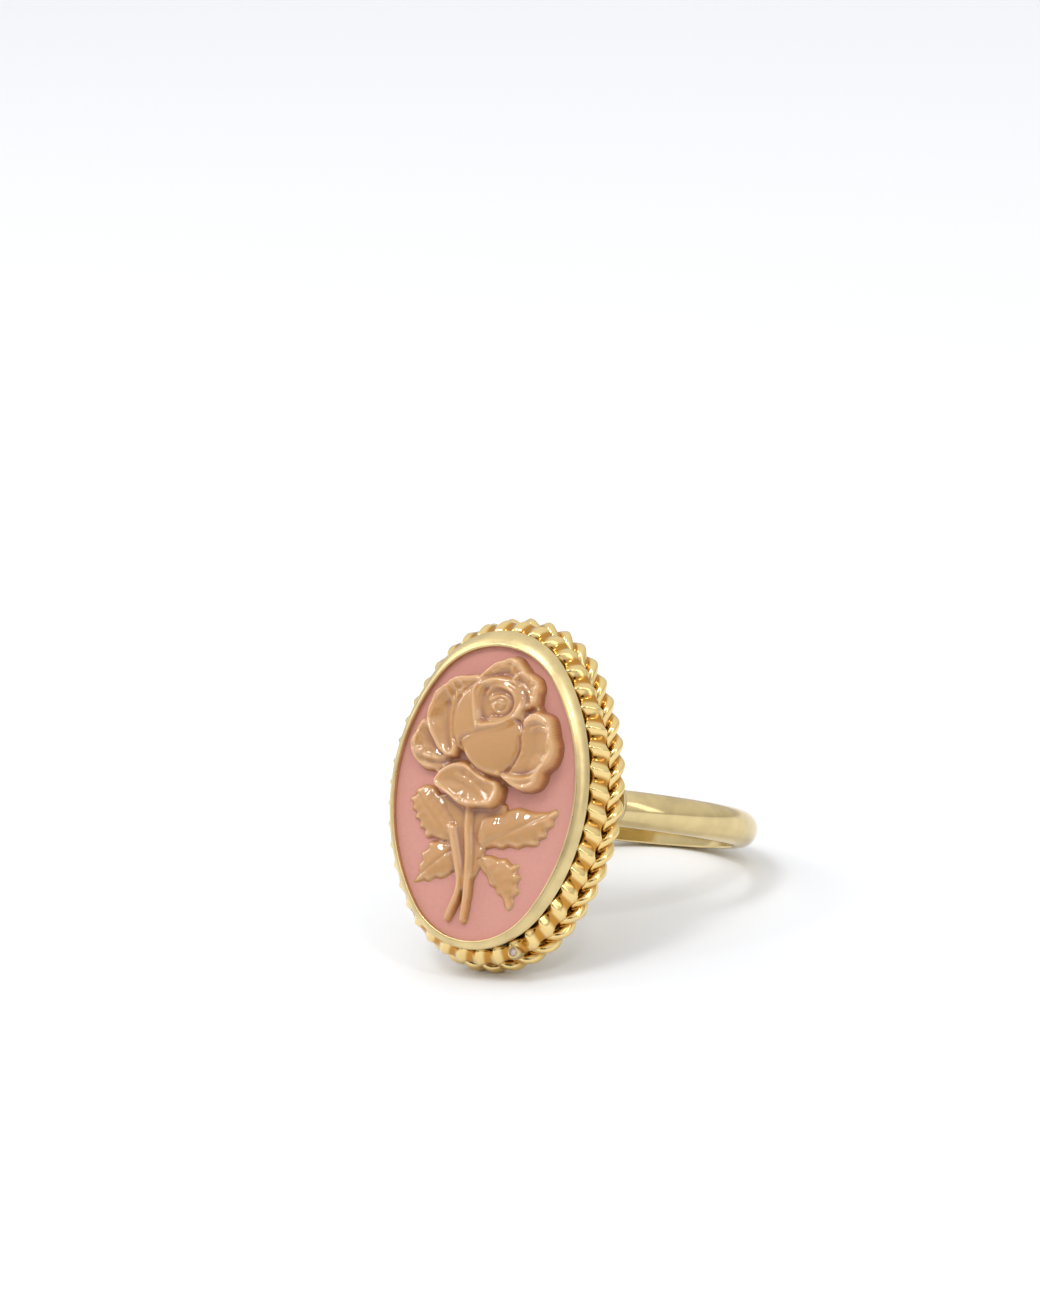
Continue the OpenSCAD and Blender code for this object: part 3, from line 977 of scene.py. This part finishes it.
# The radius of the rolled edge, and the frills: their rise, how many, how far in they reach, and how
# their place changes with the petal's
LIP_ROLL = 0.16
FRILL_RISE = 0.05
FRILLS = 7
FRILL_REACH = 0.6
FRILL_SHIFT = 3


def petal(field, lip, dish, width, rise, outline):
    """A dished petal with a rolled edge, a thin bead along its lip and a few soft frills."""
    inside = field.inside(smooth_line(outline))
    middle = np.mean(outline, axis=0)
    depth = np.clip(inside, 0, None)
    short = np.clip(LIP_ROLL - depth, 0, None)
    edge = LIP_ROLL - np.sqrt(np.clip(LIP_ROLL ** 2 - short ** 2, 0, None))
    bowl = dish * (1 - np.exp(-(np.clip(depth - LIP_ROLL, 0, None) / width) ** 2))
    bead = BEAD_RISE * np.exp(-((depth - BEAD_FROM_EDGE) / BEAD_WIDTH) ** 2)
    turn = np.arctan2(field.gy - middle[1], field.gx - middle[0])
    frill = FRILL_RISE * np.sin(FRILLS * turn + FRILL_SHIFT * middle[0]) * np.exp(-depth / FRILL_REACH)
    slope = rise[0] * (field.gx - middle[0]) + rise[1] * (field.gy - middle[1])
    field.lay(inside, lip - edge - bowl + bead + frill + slope)


def mound(field, middle, reach):
    """A smooth swelling, 1 at its middle and 0 at its reach."""
    fall = ((field.gx - middle[0]) / reach[0]) ** 2 + ((field.gy - middle[1]) / reach[1]) ** 2
    return np.clip(1 - fall, 0, 1)


# The bud's outline, the hollow heart in it and the cup petal in front of it
BUD = [
    (-0.9, 6.6), (-1.7, 6.0), (-2.25, 5.1), (-2.35, 4.0), (-2.1, 3.0), (-1.2, 2.2), (0.5, 1.8),
    (2.0, 2.4), (2.7, 3.6), (2.6, 5.0), (2.1, 6.2), (1.1, 6.85), (0, 6.95)]
HEART = [
    (-0.35, 6.3), (0.4, 6.6), (1.2, 6.5), (1.95, 6.0), (2.2, 5.3), (1.95, 4.6), (1.2, 4.2),
    (0.4, 4.05), (-0.2, 4.1), (-0.45, 5.2)]
CUP_PETAL = [
    (-1.6, 3.1), (-0.6, 3.55), (0.4, 3.9), (1.3, 4.1), (2.0, 4.5), (2.5, 4.3), (2.65, 3.4),
    (2.7, 2.6), (2.2, 1.6), (1.4, 1.0), (0.2, 1.1), (-0.7, 1.6), (-1.35, 2.3)]
# The heart's depth, how much of it fills up again toward the middle, and how far in each is reached
HEART_DEPTH = 0.26
HEART_FILL = 0.16
HEART_EDGE = 0.4
HEART_MIDDLE = (0.5, 1.2)
# How much the eased edge adds to a swelling's upright side
EDGE_STEP = 0.2


def swelling(field, outline, side, edge, bulge, middle, reach):
    """Lays a round swelling in an outline, with an upright side, an eased edge and a bulging top."""
    inside = field.inside(smooth_line(outline))
    height = side + EDGE_STEP * smooth_step(inside, 0, edge) + bulge * mound(field, middle, reach)
    field.lay(inside, height)


def bud(field):
    """The closed bud: its round left side, the hollow heart and the cup petal in front."""
    swelling(field, BUD, side=0.56, edge=0.3, bulge=0.55, middle=(-0.1, 4.4), reach=(3.3, 3.6))
    depth = np.clip(field.inside(smooth_line(HEART)), 0, None)
    field.height = field.height - HEART_DEPTH * smooth_step(depth, 0, HEART_EDGE)
    field.height = field.height + HEART_FILL * smooth_step(depth, *HEART_MIDDLE)
    swelling(field, CUP_PETAL, side=0.42, edge=0.25, bulge=0.72, middle=(0.6, 2.9), reach=(3.0, 2.7))


# The petal that curls down in front of the bud
LOW_FRONT = dict(lip=0.95, dish=0.14, width=0.7, rise=(0, -0.04), outline=[
    (-3.3, 0.6), (-2.9, 1.2), (-2.0, 1.7), (-1.1, 1.75), (-0.2, 1.25), (0.6, 0.9), (1.2, 0.7),
    (1.45, 0.2), (1.3, -0.45), (0.9, -0.8), (0.1, -0.85), (-0.7, -0.9), (-1.3, -0.8), (-2.0, -0.4),
    (-2.8, 0.0), (-3.2, 0.25)])


# Thin folds on the petals, each with the line that it follows, its width and its rise. A fold with a
# rise below zero is a groove.
FOLDS = {
    "heart, outer turn": dict(width=0.10, rise=0.15, line=[
        (-0.3, 3.95), (1.0, 4.1), (2.0, 4.5), (2.4, 5.3), (2.2, 6.1), (1.5, 6.7), (0.6, 6.85),
        (-0.2, 6.6)]),
    "heart, middle turn": dict(width=0.08, rise=0.16, line=[
        (-0.05, 5.9), (0.4, 6.3), (1.1, 6.3), (1.75, 5.95), (1.95, 5.3), (1.75, 4.75), (1.2, 4.45),
        (0.5, 4.4)]),
    "heart, inner turn": dict(width=0.07, rise=0.15, line=[
        (0.25, 5.5), (0.9, 5.8), (1.4, 5.65), (1.55, 5.2), (1.3, 4.85), (0.85, 4.8), (0.55, 5.1)]),
    "heart, core": dict(width=0.07, rise=0.10, line=[(0.75, 5.3), (1.0, 5.4), (1.15, 5.2), (0.95, 5.1)]),
    "bud, upright fold": dict(width=0.10, rise=0.14, line=[
        (-0.6, 6.75), (-0.9, 6.1), (-0.75, 5.2), (-0.45, 4.2), (-0.35, 3.9)]),
    "bud, groove beside the fold": dict(width=0.12, rise=-0.12, line=[
        (-0.2, 6.2), (-0.35, 5.4), (-0.15, 4.4)]),
    "cup, top fold": dict(width=0.11, rise=0.14, line=[
        (-1.5, 3.05), (-0.6, 3.48), (0.4, 3.84), (1.3, 4.0), (2.0, 4.38)]),
    "upper left, first crease": dict(width=0.08, rise=0.10, line=[(-3.2, 6.2), (-2.8, 5.9), (-2.6, 5.3)]),
    "upper left, second crease": dict(width=0.08, rise=0.10, line=[(-2.7, 6.5), (-2.3, 6.1), (-2.15, 5.5)]),
    "upper left, third crease": dict(width=0.08, rise=0.08, line=[(-2.1, 6.65), (-1.8, 6.3), (-1.75, 5.8)]),
    "upper left, inner groove": dict(width=0.16, rise=-0.12, line=[
        (-2.75, 5.2), (-2.75, 4.3), (-2.5, 3.2), (-2.3, 2.4)]),
    "upper left, curl": dict(width=0.10, rise=0.14, line=[
        (-4.1, 4.0), (-3.7, 3.4), (-3.3, 2.95), (-3.05, 2.4)]),
    "far left, fold": dict(width=0.09, rise=0.10, line=[
        (-5.2, 2.3), (-4.5, 2.0), (-3.8, 1.85), (-3.2, 1.75)]),
    "far left, crease": dict(width=0.08, rise=0.08, line=[(-4.9, 3.4), (-4.4, 3.0), (-4.1, 2.4)]),
    "back top, crease": dict(width=0.09, rise=0.09, line=[
        (0.1, 7.2), (0.8, 7.55), (1.4, 7.4), (1.7, 6.95)]),
    "back top, frill": dict(width=0.08, rise=0.08, line=[(1.3, 8.0), (1.45, 7.6), (1.3, 7.2)]),
    "back right, crease": dict(width=0.09, rise=0.12, line=[(2.15, 6.5), (2.6, 6.15), (2.95, 5.6)]),
    "back right, frill": dict(width=0.08, rise=0.08, line=[(2.9, 6.9), (2.7, 6.5), (3.0, 6.1)]),
    "right, rolled foot": dict(width=0.12, rise=0.16, line=[
        (1.3, 1.15), (2.1, 0.98), (3.0, 0.95), (3.9, 1.2), (4.4, 1.7)]),
    "right, groove over the foot": dict(width=0.14, rise=-0.08, line=[
        (2.0, 1.4), (3.0, 1.3), (3.8, 1.6)]),
    "right, curled top": dict(width=0.10, rise=0.15, line=[
        (2.6, 3.6), (2.7, 4.05), (3.05, 4.4), (3.6, 4.55), (4.15, 4.4)]),
    "right, second curl": dict(width=0.08, rise=0.10, line=[(3.3, 3.9), (3.8, 4.1), (4.35, 3.95)]),
    "right, edge crease": dict(width=0.09, rise=0.09, line=[
        (4.65, 3.5), (4.45, 3.0), (4.6, 2.5), (4.4, 2.1)]),
    "low front, left lip": dict(width=0.09, rise=0.12, line=[(-2.8, 0.25), (-2.0, -0.2), (-1.2, -0.6)]),
    "low front, upper lip": dict(width=0.09, rise=0.12, line=[
        (-1.6, 1.55), (-0.9, 1.4), (-0.2, 1.0), (0.4, 0.7)]),
    "low front, crease": dict(width=0.10, rise=0.08, line=[
        (-1.6, 0.9), (-0.6, 0.5), (0.3, -0.1), (0.7, -0.6)]),
}


# Leaves, in millimetres: where the midrib starts and ends, the height at its start, and the outline
# round the teeth
LEAVES = [
    dict(start=(-2.2, -2.6), end=(-5.0, 0.0), height=0.52, outline=[
        (-4.3, 0.25), (-5.0, -0.15), (-4.8, -0.35), (-5.3, -0.6), (-4.9, -0.9), (-5.05, -1.25),
        (-4.6, -1.4), (-4.8, -1.75), (-4.3, -1.9), (-4.35, -2.3), (-3.9, -2.4), (-3.85, -2.9),
        (-3.3, -2.8), (-2.8, -2.95), (-2.0, -3.0), (-1.7, -2.4), (-1.9, -1.7), (-2.3, -1.2),
        (-2.6, -0.7), (-3.1, -0.25), (-3.6, 0.2)]),
    dict(start=(-1.7, -3.4), end=(-4.5, -5.6), height=0.42, outline=[
        (-1.9, -3.1), (-3.5, -3.1), (-3.5, -3.5), (-4.05, -3.8), (-3.85, -4.2), (-4.15, -4.6), (-4.0, -5.0),
        (-4.45, -5.65), (-3.6, -5.4), (-3.3, -5.5), (-2.8, -5.2), (-2.4, -5.25), (-1.8, -4.9),
        (-1.4, -4.3)]),
    dict(start=(0.1, -3.2), end=(5.2, -0.7), height=0.52, outline=[
        (0.2, -3.3), (1.0, -3.1), (1.6, -3.2), (2.1, -3.0), (2.7, -3.1), (3.2, -2.9), (4.1, -2.85),
        (4.1, -2.5), (4.6, -2.3), (4.55, -1.9), (5.0, -1.6), (4.95, -1.2), (5.25, -0.9), (5.05, -0.6),
        (4.6, -0.8), (4.0, -0.85), (3.4, -0.85), (2.6, -0.7), (2.0, -0.8), (1.3, -1.1), (0.6, -1.2),
        (0.0, -1.6), (-0.2, -2.6)]),
    dict(start=(0.2, -3.8), end=(2.6, -6.8), height=0.42, outline=[
        (0.2, -3.7), (0.9, -3.65), (1.5, -3.8), (2.0, -3.75), (2.4, -4.1), (2.9, -4.0), (2.8, -4.5),
        (3.15, -4.8), (2.9, -5.2), (3.15, -5.7), (2.75, -6.0), (2.85, -6.4), (2.55, -6.9), (2.15, -6.5),
        (2.0, -6.1), (1.6, -5.9), (1.4, -5.5), (1.0, -5.4), (0.8, -4.9), (0.4, -4.6), (0.1, -4.2)]),
]


# How much lower a leaf is at its tip, and the shares of its height at its edge and inside its lip
LEAF_FALL = 0.25
LEAF_CROWN_START = 0.62
LEAF_LIP_START = 0.55
# How far in from the edge the lip and the crown are whole
LEAF_LIP = 0.18
LEAF_CROWN = 0.9
# The groove of the midrib and the fine slanted veins
RIB_DEPTH = 0.09
RIB_WIDTH = 0.09
VEIN_RISE = 0.009
VEINS = 6.5
VEIN_SLANT = 0.55
VEIN_START = 0.3


def leaf(field, start, end, height, outline):
    """A toothed leaf that swells toward its middle, with a midrib and veins."""
    inside = field.inside(smooth_line(outline, parts=2))
    start, end = np.array(start), np.array(end)
    length = np.hypot(*(end - start))
    run = (end - start) / length
    along = ((field.gx - start[0]) * run[0] + (field.gy - start[1]) * run[1]) / length
    across = (field.gx - start[0]) * -run[1] + (field.gy - start[1]) * run[0]
    lip = LEAF_LIP_START + (1 - LEAF_LIP_START) * smooth_step(inside, 0, LEAF_LIP)
    crown = LEAF_CROWN_START + (1 - LEAF_CROWN_START) * smooth_step(inside, 0, LEAF_CROWN)
    rib = RIB_DEPTH * np.exp(-(across / RIB_WIDTH) ** 2)
    veins = VEIN_RISE * np.sin(2 * math.pi * (along * VEINS - VEIN_SLANT * np.abs(across)))
    veins *= smooth_step(np.abs(across), 0, VEIN_START)
    field.lay(inside, height * (1 - LEAF_FALL * along) * crown * lip - rib + veins)


# The two stems, from the flower down
STEMS = [
    [(-0.8, -0.6), (-0.78, -2.0), (-0.55, -3.5), (-0.45, -5.0), (-0.42, -6.2), (-0.5, -7.6)],
    [(-1.9, -2.2), (-1.5, -3.4), (-1.1, -4.6), (-0.95, -5.4), (-1.08, -6.2), (-1.62, -7.55)],
]
# Half the stem's width, its height, the share of it that is upright side, and how it thins
STEM_HALF = 0.31
STEM_HEIGHT = 0.55
STEM_SIDE = 0.35
STEM_TAPER = 0.4


def stem(field, stops):
    """A round stem, thinner toward its cut end."""
    line = smooth_line(stops, closed=False)
    gap = np.full(field.gx.shape, np.inf)
    for i, (a, b) in enumerate(zip(line[:-1], line[1:])):
        along, near = field.nearest(a, b)
        share = (i + along) / (len(line) - 1)
        gap = np.minimum(gap, near / (1 - STEM_TAPER * share ** 3))
    arch = np.sqrt(np.clip(1 - (gap / STEM_HALF) ** 2, 0, 1))
    top = STEM_HEIGHT * (STEM_SIDE + (1 - STEM_SIDE) * arch)
    field.height = np.where(gap < STEM_HALF, np.maximum(field.height, top), field.height)


# The web that joins the stems and leaves low over the plaque
WEB = [(-3.2, -0.3), (-2.2, -3.0), (-1.4, -4.9), (-0.4, -5.4), (0.2, -4.4), (0.5, -3.2), (1.6, -0.6)]
WEB_HEIGHT = 0.26


def rose_field():
    """The whole rose as heights, from the lowest piece to the highest and then the folds."""
    field = ReliefField(half_x=5.85, low_y=-8.2, high_y=8.6, step=0.055, ground=-0.06)
    field.lay(field.inside(smooth_line(WEB)), WEB_HEIGHT)
    for row in LEAVES:
        leaf(field, **row)
    for stops in STEMS:
        stem(field, stops)
    for row in PETALS.values():
        petal(field, **row)
    bud(field)
    petal(field, **LOW_FRONT)
    field.soften(2)
    for row in FOLDS.values():
        field.ridge(**row)
    field.soften(1)
    return field


# How far the rose's flat underside lies below its edges, and how little of it still counts as rose
UNDERSIDE_DROP = 0.02
LEAST_HEIGHT = 0.01
# Blur passes of the surface that hollows and crests are measured from, and how far each goes to be full.
# Hollows get painted shade and crests a painted highlight.
PAINTED_LIGHT_BLUR = 40
HOLLOW_PAINTED_SHADE = (0, 0.12)
CREST_PAINTED_HIGHLIGHT = (0.02, 0.14)


def relief_cells(field):
    """The grid's cells that the rose covers, and the grid points that they use."""
    solid = field.height > field.ground + LEAST_HEIGHT
    cells = solid[:-1, :-1] | solid[1:, :-1] | solid[1:, 1:] | solid[:-1, 1:]
    used = np.zeros(solid.shape, dtype=bool)
    for di in (0, 1):
        for dj in (0, 1):
            used[di:di + cells.shape[0], dj:dj + cells.shape[1]] |= cells
    return cells, used


def side_walls(quads, count):
    """Quads from a surface's border down to its copy, whose points are numbered count further on."""
    edges = np.concatenate([quads[:, [k, (k + 1) % 4]] for k in range(4)])
    # An edge on the border belongs to one quad only, so none runs along it the other way.
    forward = edges[:, 0] * count + edges[:, 1]
    backward = edges[:, 1] * count + edges[:, 0]
    start, end = edges[~np.isin(forward, backward)].T
    return np.column_stack([start, start + count, end + count, end])


def relief_mesh(maker, field, base_z):
    """The field's surface, closed by a flat underside just below the plaque's face."""
    height = np.maximum(field.height, field.ground)
    cells, used = relief_cells(field)
    count = used.sum()
    number = np.full(height.shape, -1)
    number[used] = np.arange(count)
    top = np.column_stack([field.gx[used], field.gy[used] - UNEVEN_RIM, base_z + height[used]])
    under = top.copy()
    under[:, 2] = base_z + field.ground - UNDERSIDE_DROP
    i, j = np.nonzero(cells)
    quads = np.column_stack([number[i, j], number[i + 1, j], number[i + 1, j + 1], number[i, j + 1]])
    # Painted shade in the hollows and a painted highlight on the crests, as a shade for the material
    over = (height - blurred(height, PAINTED_LIGHT_BLUR))[used]
    shade = 0.5 + 0.5 * smooth_step(-over, *HOLLOW_PAINTED_SHADE) - 0.5 * smooth_step(over, *CREST_PAINTED_HIGHLIGHT)
    faces = np.concatenate([quads, quads[:, ::-1] + count, side_walls(quads, count)])
    maker.add(np.concatenate([top, under]), faces, np.concatenate([shade, shade]))


class RING_OT_rose(Operator):
    """Makes the raised rose with its leaves and stems"""

    bl_idname = "ring.rose"
    bl_label = "Raised Rose"

    def execute(self, context):
        head = Head(context.scene.ring_sizes)
        maker = MeshMaker()
        relief_mesh(maker, rose_field(), head.plaque_z)
        maker.build("raised_rose", head, caramel_glaze(context.scene.ring_colours),
                    ["rose_relief"])
        return {"FINISHED"}


# The floor's colour, and how far it reaches in metres
FLOOR_COLOUR = (0.86, 0.875, 0.90)
FLOOR_REACH = 3.0


def floor():
    """A wide pale floor under the ring."""
    material, _, shader = new_material("pale_floor")
    shader.inputs["Base Color"].default_value = (*FLOOR_COLOUR, 1)
    shader.inputs["Roughness"].default_value = 0.6
    r = FLOOR_REACH
    mesh = bpy.data.meshes.new("floor")
    mesh.from_pydata([(-r, -r, 0), (r, -r, 0), (r, r, 0), (-r, r, 0)], [], [(0, 1, 2, 3)])
    mesh.materials.append(material)
    place_object("floor", mesh)


# Soft lights, with places and sizes in metres and power in watts. All of them face the ring.
WARM = (1, 0.99, 0.97)
WHITE = (1, 1, 1)
LIGHTS = {
    "key_softbox": dict(place=(-0.05, -0.15, 0.40), size=(0.11, 0.11), power=0.42, colour=WHITE),
    "left_softbox": dict(place=(-0.38, -0.04, 0.24), size=(0.16, 0.24), power=0.36, colour=WARM),
    "right_softbox": dict(place=(0.36, -0.10, 0.20), size=(0.10, 0.30), power=0.12, colour=WARM),
    "left_spark": dict(place=(-0.20, -0.18, 0.30), size=(0.028, 0.028), power=0.10, colour=WHITE),
    "right_spark": dict(place=(0.22, -0.12, 0.34), size=(0.03, 0.035), power=0.14, colour=WHITE),
}
LIGHT_AIM = (0, 0, 0.01)


def softbox(name, place, size, power, colour):
    """An area light that faces the ring."""
    light = bpy.data.lights.new(name, "AREA")
    light.shape = "RECTANGLE"
    light.size, light.size_y = size
    light.energy = power
    light.color = colour
    obj = place_object(name, light)
    obj.location = place
    obj.rotation_euler = (Vector(LIGHT_AIM) - Vector(place)).to_track_quat("-Z", "Y").to_euler()


# The room's colours at heights from floor to ceiling, where height is a share of the way up
ROOM_HEIGHTS = (-0.1, 0.9)
ROOM_COLOURS = {0: (0.50, 0.49, 0.48, 1), 0.35: (0.78, 0.78, 0.78, 1), 1: (0.95, 0.95, 0.96, 1)}
# The way from the ring to the middle of the dark screen, how wide the screen is, and its colour
SCREEN_WAY = (0.35, -0.88, 0.32)
SCREEN_REACH = 0.35
SCREEN_CORE = 0.8
SCREEN_COLOUR = (0.06, 0.05, 0.05)


def studio_world():
    """A pale room with a brighter ceiling, and one dark screen that the gold reflects."""
    world = bpy.data.worlds.new("studio")
    world.use_nodes = True
    tree = world.node_tree
    background = tree.nodes["Background"]
    place = add_node(tree, "ShaderNodeTexCoord")
    split = add_node(tree, "ShaderNodeSeparateXYZ")
    tree.links.new(place.outputs["Generated"], split.inputs[0])
    ramp = add_node(tree, "ShaderNodeValToRGB")
    tree.links.new(remap(tree, split.outputs["Z"], ROOM_HEIGHTS), ramp.inputs[0])
    stops = ramp.color_ramp.elements
    stops.new(sorted(ROOM_COLOURS)[1])
    for stop, (position, colour) in zip(stops, sorted(ROOM_COLOURS.items())):
        stop.position, stop.color = position, colour
    near = add_node(tree, "ShaderNodeVectorMath", operation="DISTANCE")
    tree.links.new(place.outputs["Generated"], near.inputs[0])
    near.inputs[1].default_value = SCREEN_WAY
    dark = remap(tree, near.outputs["Value"], (SCREEN_CORE * SCREEN_REACH, SCREEN_REACH), (1, 0))
    colour = mix_colours(tree, dark, ramp.outputs["Color"], SCREEN_COLOUR)
    tree.links.new(colour, background.inputs["Color"])
    background.inputs["Strength"].default_value = 1.0
    bpy.context.scene.world = world


# The sensor's longer side in millimetres, and the nearest and farthest that the camera sees in metres
SENSOR = 36
CLIP = (0.01, 20)


def camera(view, head):
    """The camera, aimed at the middle of the cameo's window."""
    cos_e = math.cos(view.elevation)
    toward = Vector((
        math.sin(view.azimuth) * cos_e, -math.cos(view.azimuth) * cos_e, math.sin(view.elevation)))
    target = Vector(head.to_world((0, -UNEVEN_RIM, 0))[0])
    data = bpy.data.cameras.new("camera")
    data.sensor_width = SENSOR
    data.sensor_fit = "AUTO"
    data.lens = view.lens
    data.shift_x, data.shift_y = view.shift_x, view.shift_y
    data.clip_start, data.clip_end = CLIP
    obj = place_object("camera", data)
    turn = toward.to_track_quat("Z", "Y").to_matrix() @ Matrix.Rotation(view.roll, 3, "Z")
    obj.matrix_world = Matrix.Translation(target + toward * view.distance) @ turn.to_4x4()
    bpy.context.scene.camera = obj


class RING_OT_stage(Operator):
    """Sets the pale floor, the soft lights and the camera"""

    bl_idname = "ring.stage"
    bl_label = "Stage"

    def execute(self, context):
        scene = context.scene
        camera(scene.ring_view, Head(scene.ring_sizes))
        floor()
        for name, row in LIGHTS.items():
            softbox(name, **row)
        studio_world()
        scene.view_settings.view_transform = "Standard"
        return {"FINISHED"}


class RING_PT_sidebar(Panel):
    """Buttons that build the ring piece by piece"""

    bl_idname = "RING_PT_sidebar"
    bl_label = "Cameo Ring"
    bl_space_type = "VIEW_3D"
    bl_region_type = "UI"
    bl_category = "Cameo Ring"

    def draw(self, context):
        layout = self.layout
        for operator in OPERATORS:
            layout.operator(operator.bl_idname)
        for group in (context.scene.ring_sizes, context.scene.ring_colours, context.scene.ring_view):
            box = layout.box()
            for name in group.bl_rna.properties.keys():
                if name not in ("rna_type", "name"):
                    box.prop(group, name)


OPERATORS = [RING_OT_stage, RING_OT_gold_setting, RING_OT_twisted_wires, RING_OT_plaque, RING_OT_rose]
GROUPS = [RingSizes, RingColours, RingView]


def register():
    for group in GROUPS:
        bpy.utils.register_class(group)
    bpy.types.Scene.ring_sizes = PointerProperty(type=RingSizes)
    bpy.types.Scene.ring_colours = PointerProperty(type=RingColours)
    bpy.types.Scene.ring_view = PointerProperty(type=RingView)
    for operator in OPERATORS:
        bpy.utils.register_class(operator)
    bpy.utils.register_class(RING_PT_sidebar)


def unregister():
    bpy.utils.unregister_class(RING_PT_sidebar)
    for operator in reversed(OPERATORS):
        bpy.utils.unregister_class(operator)
    del bpy.types.Scene.ring_view
    del bpy.types.Scene.ring_colours
    del bpy.types.Scene.ring_sizes
    for group in reversed(GROUPS):
        bpy.utils.unregister_class(group)


def main():
    register()
    bpy.ops.ring.stage()
    bpy.ops.ring.gold_setting()
    bpy.ops.ring.twisted_wires()
    bpy.ops.ring.plaque()
    bpy.ops.ring.rose()


if __name__ == "__main__":
    main()
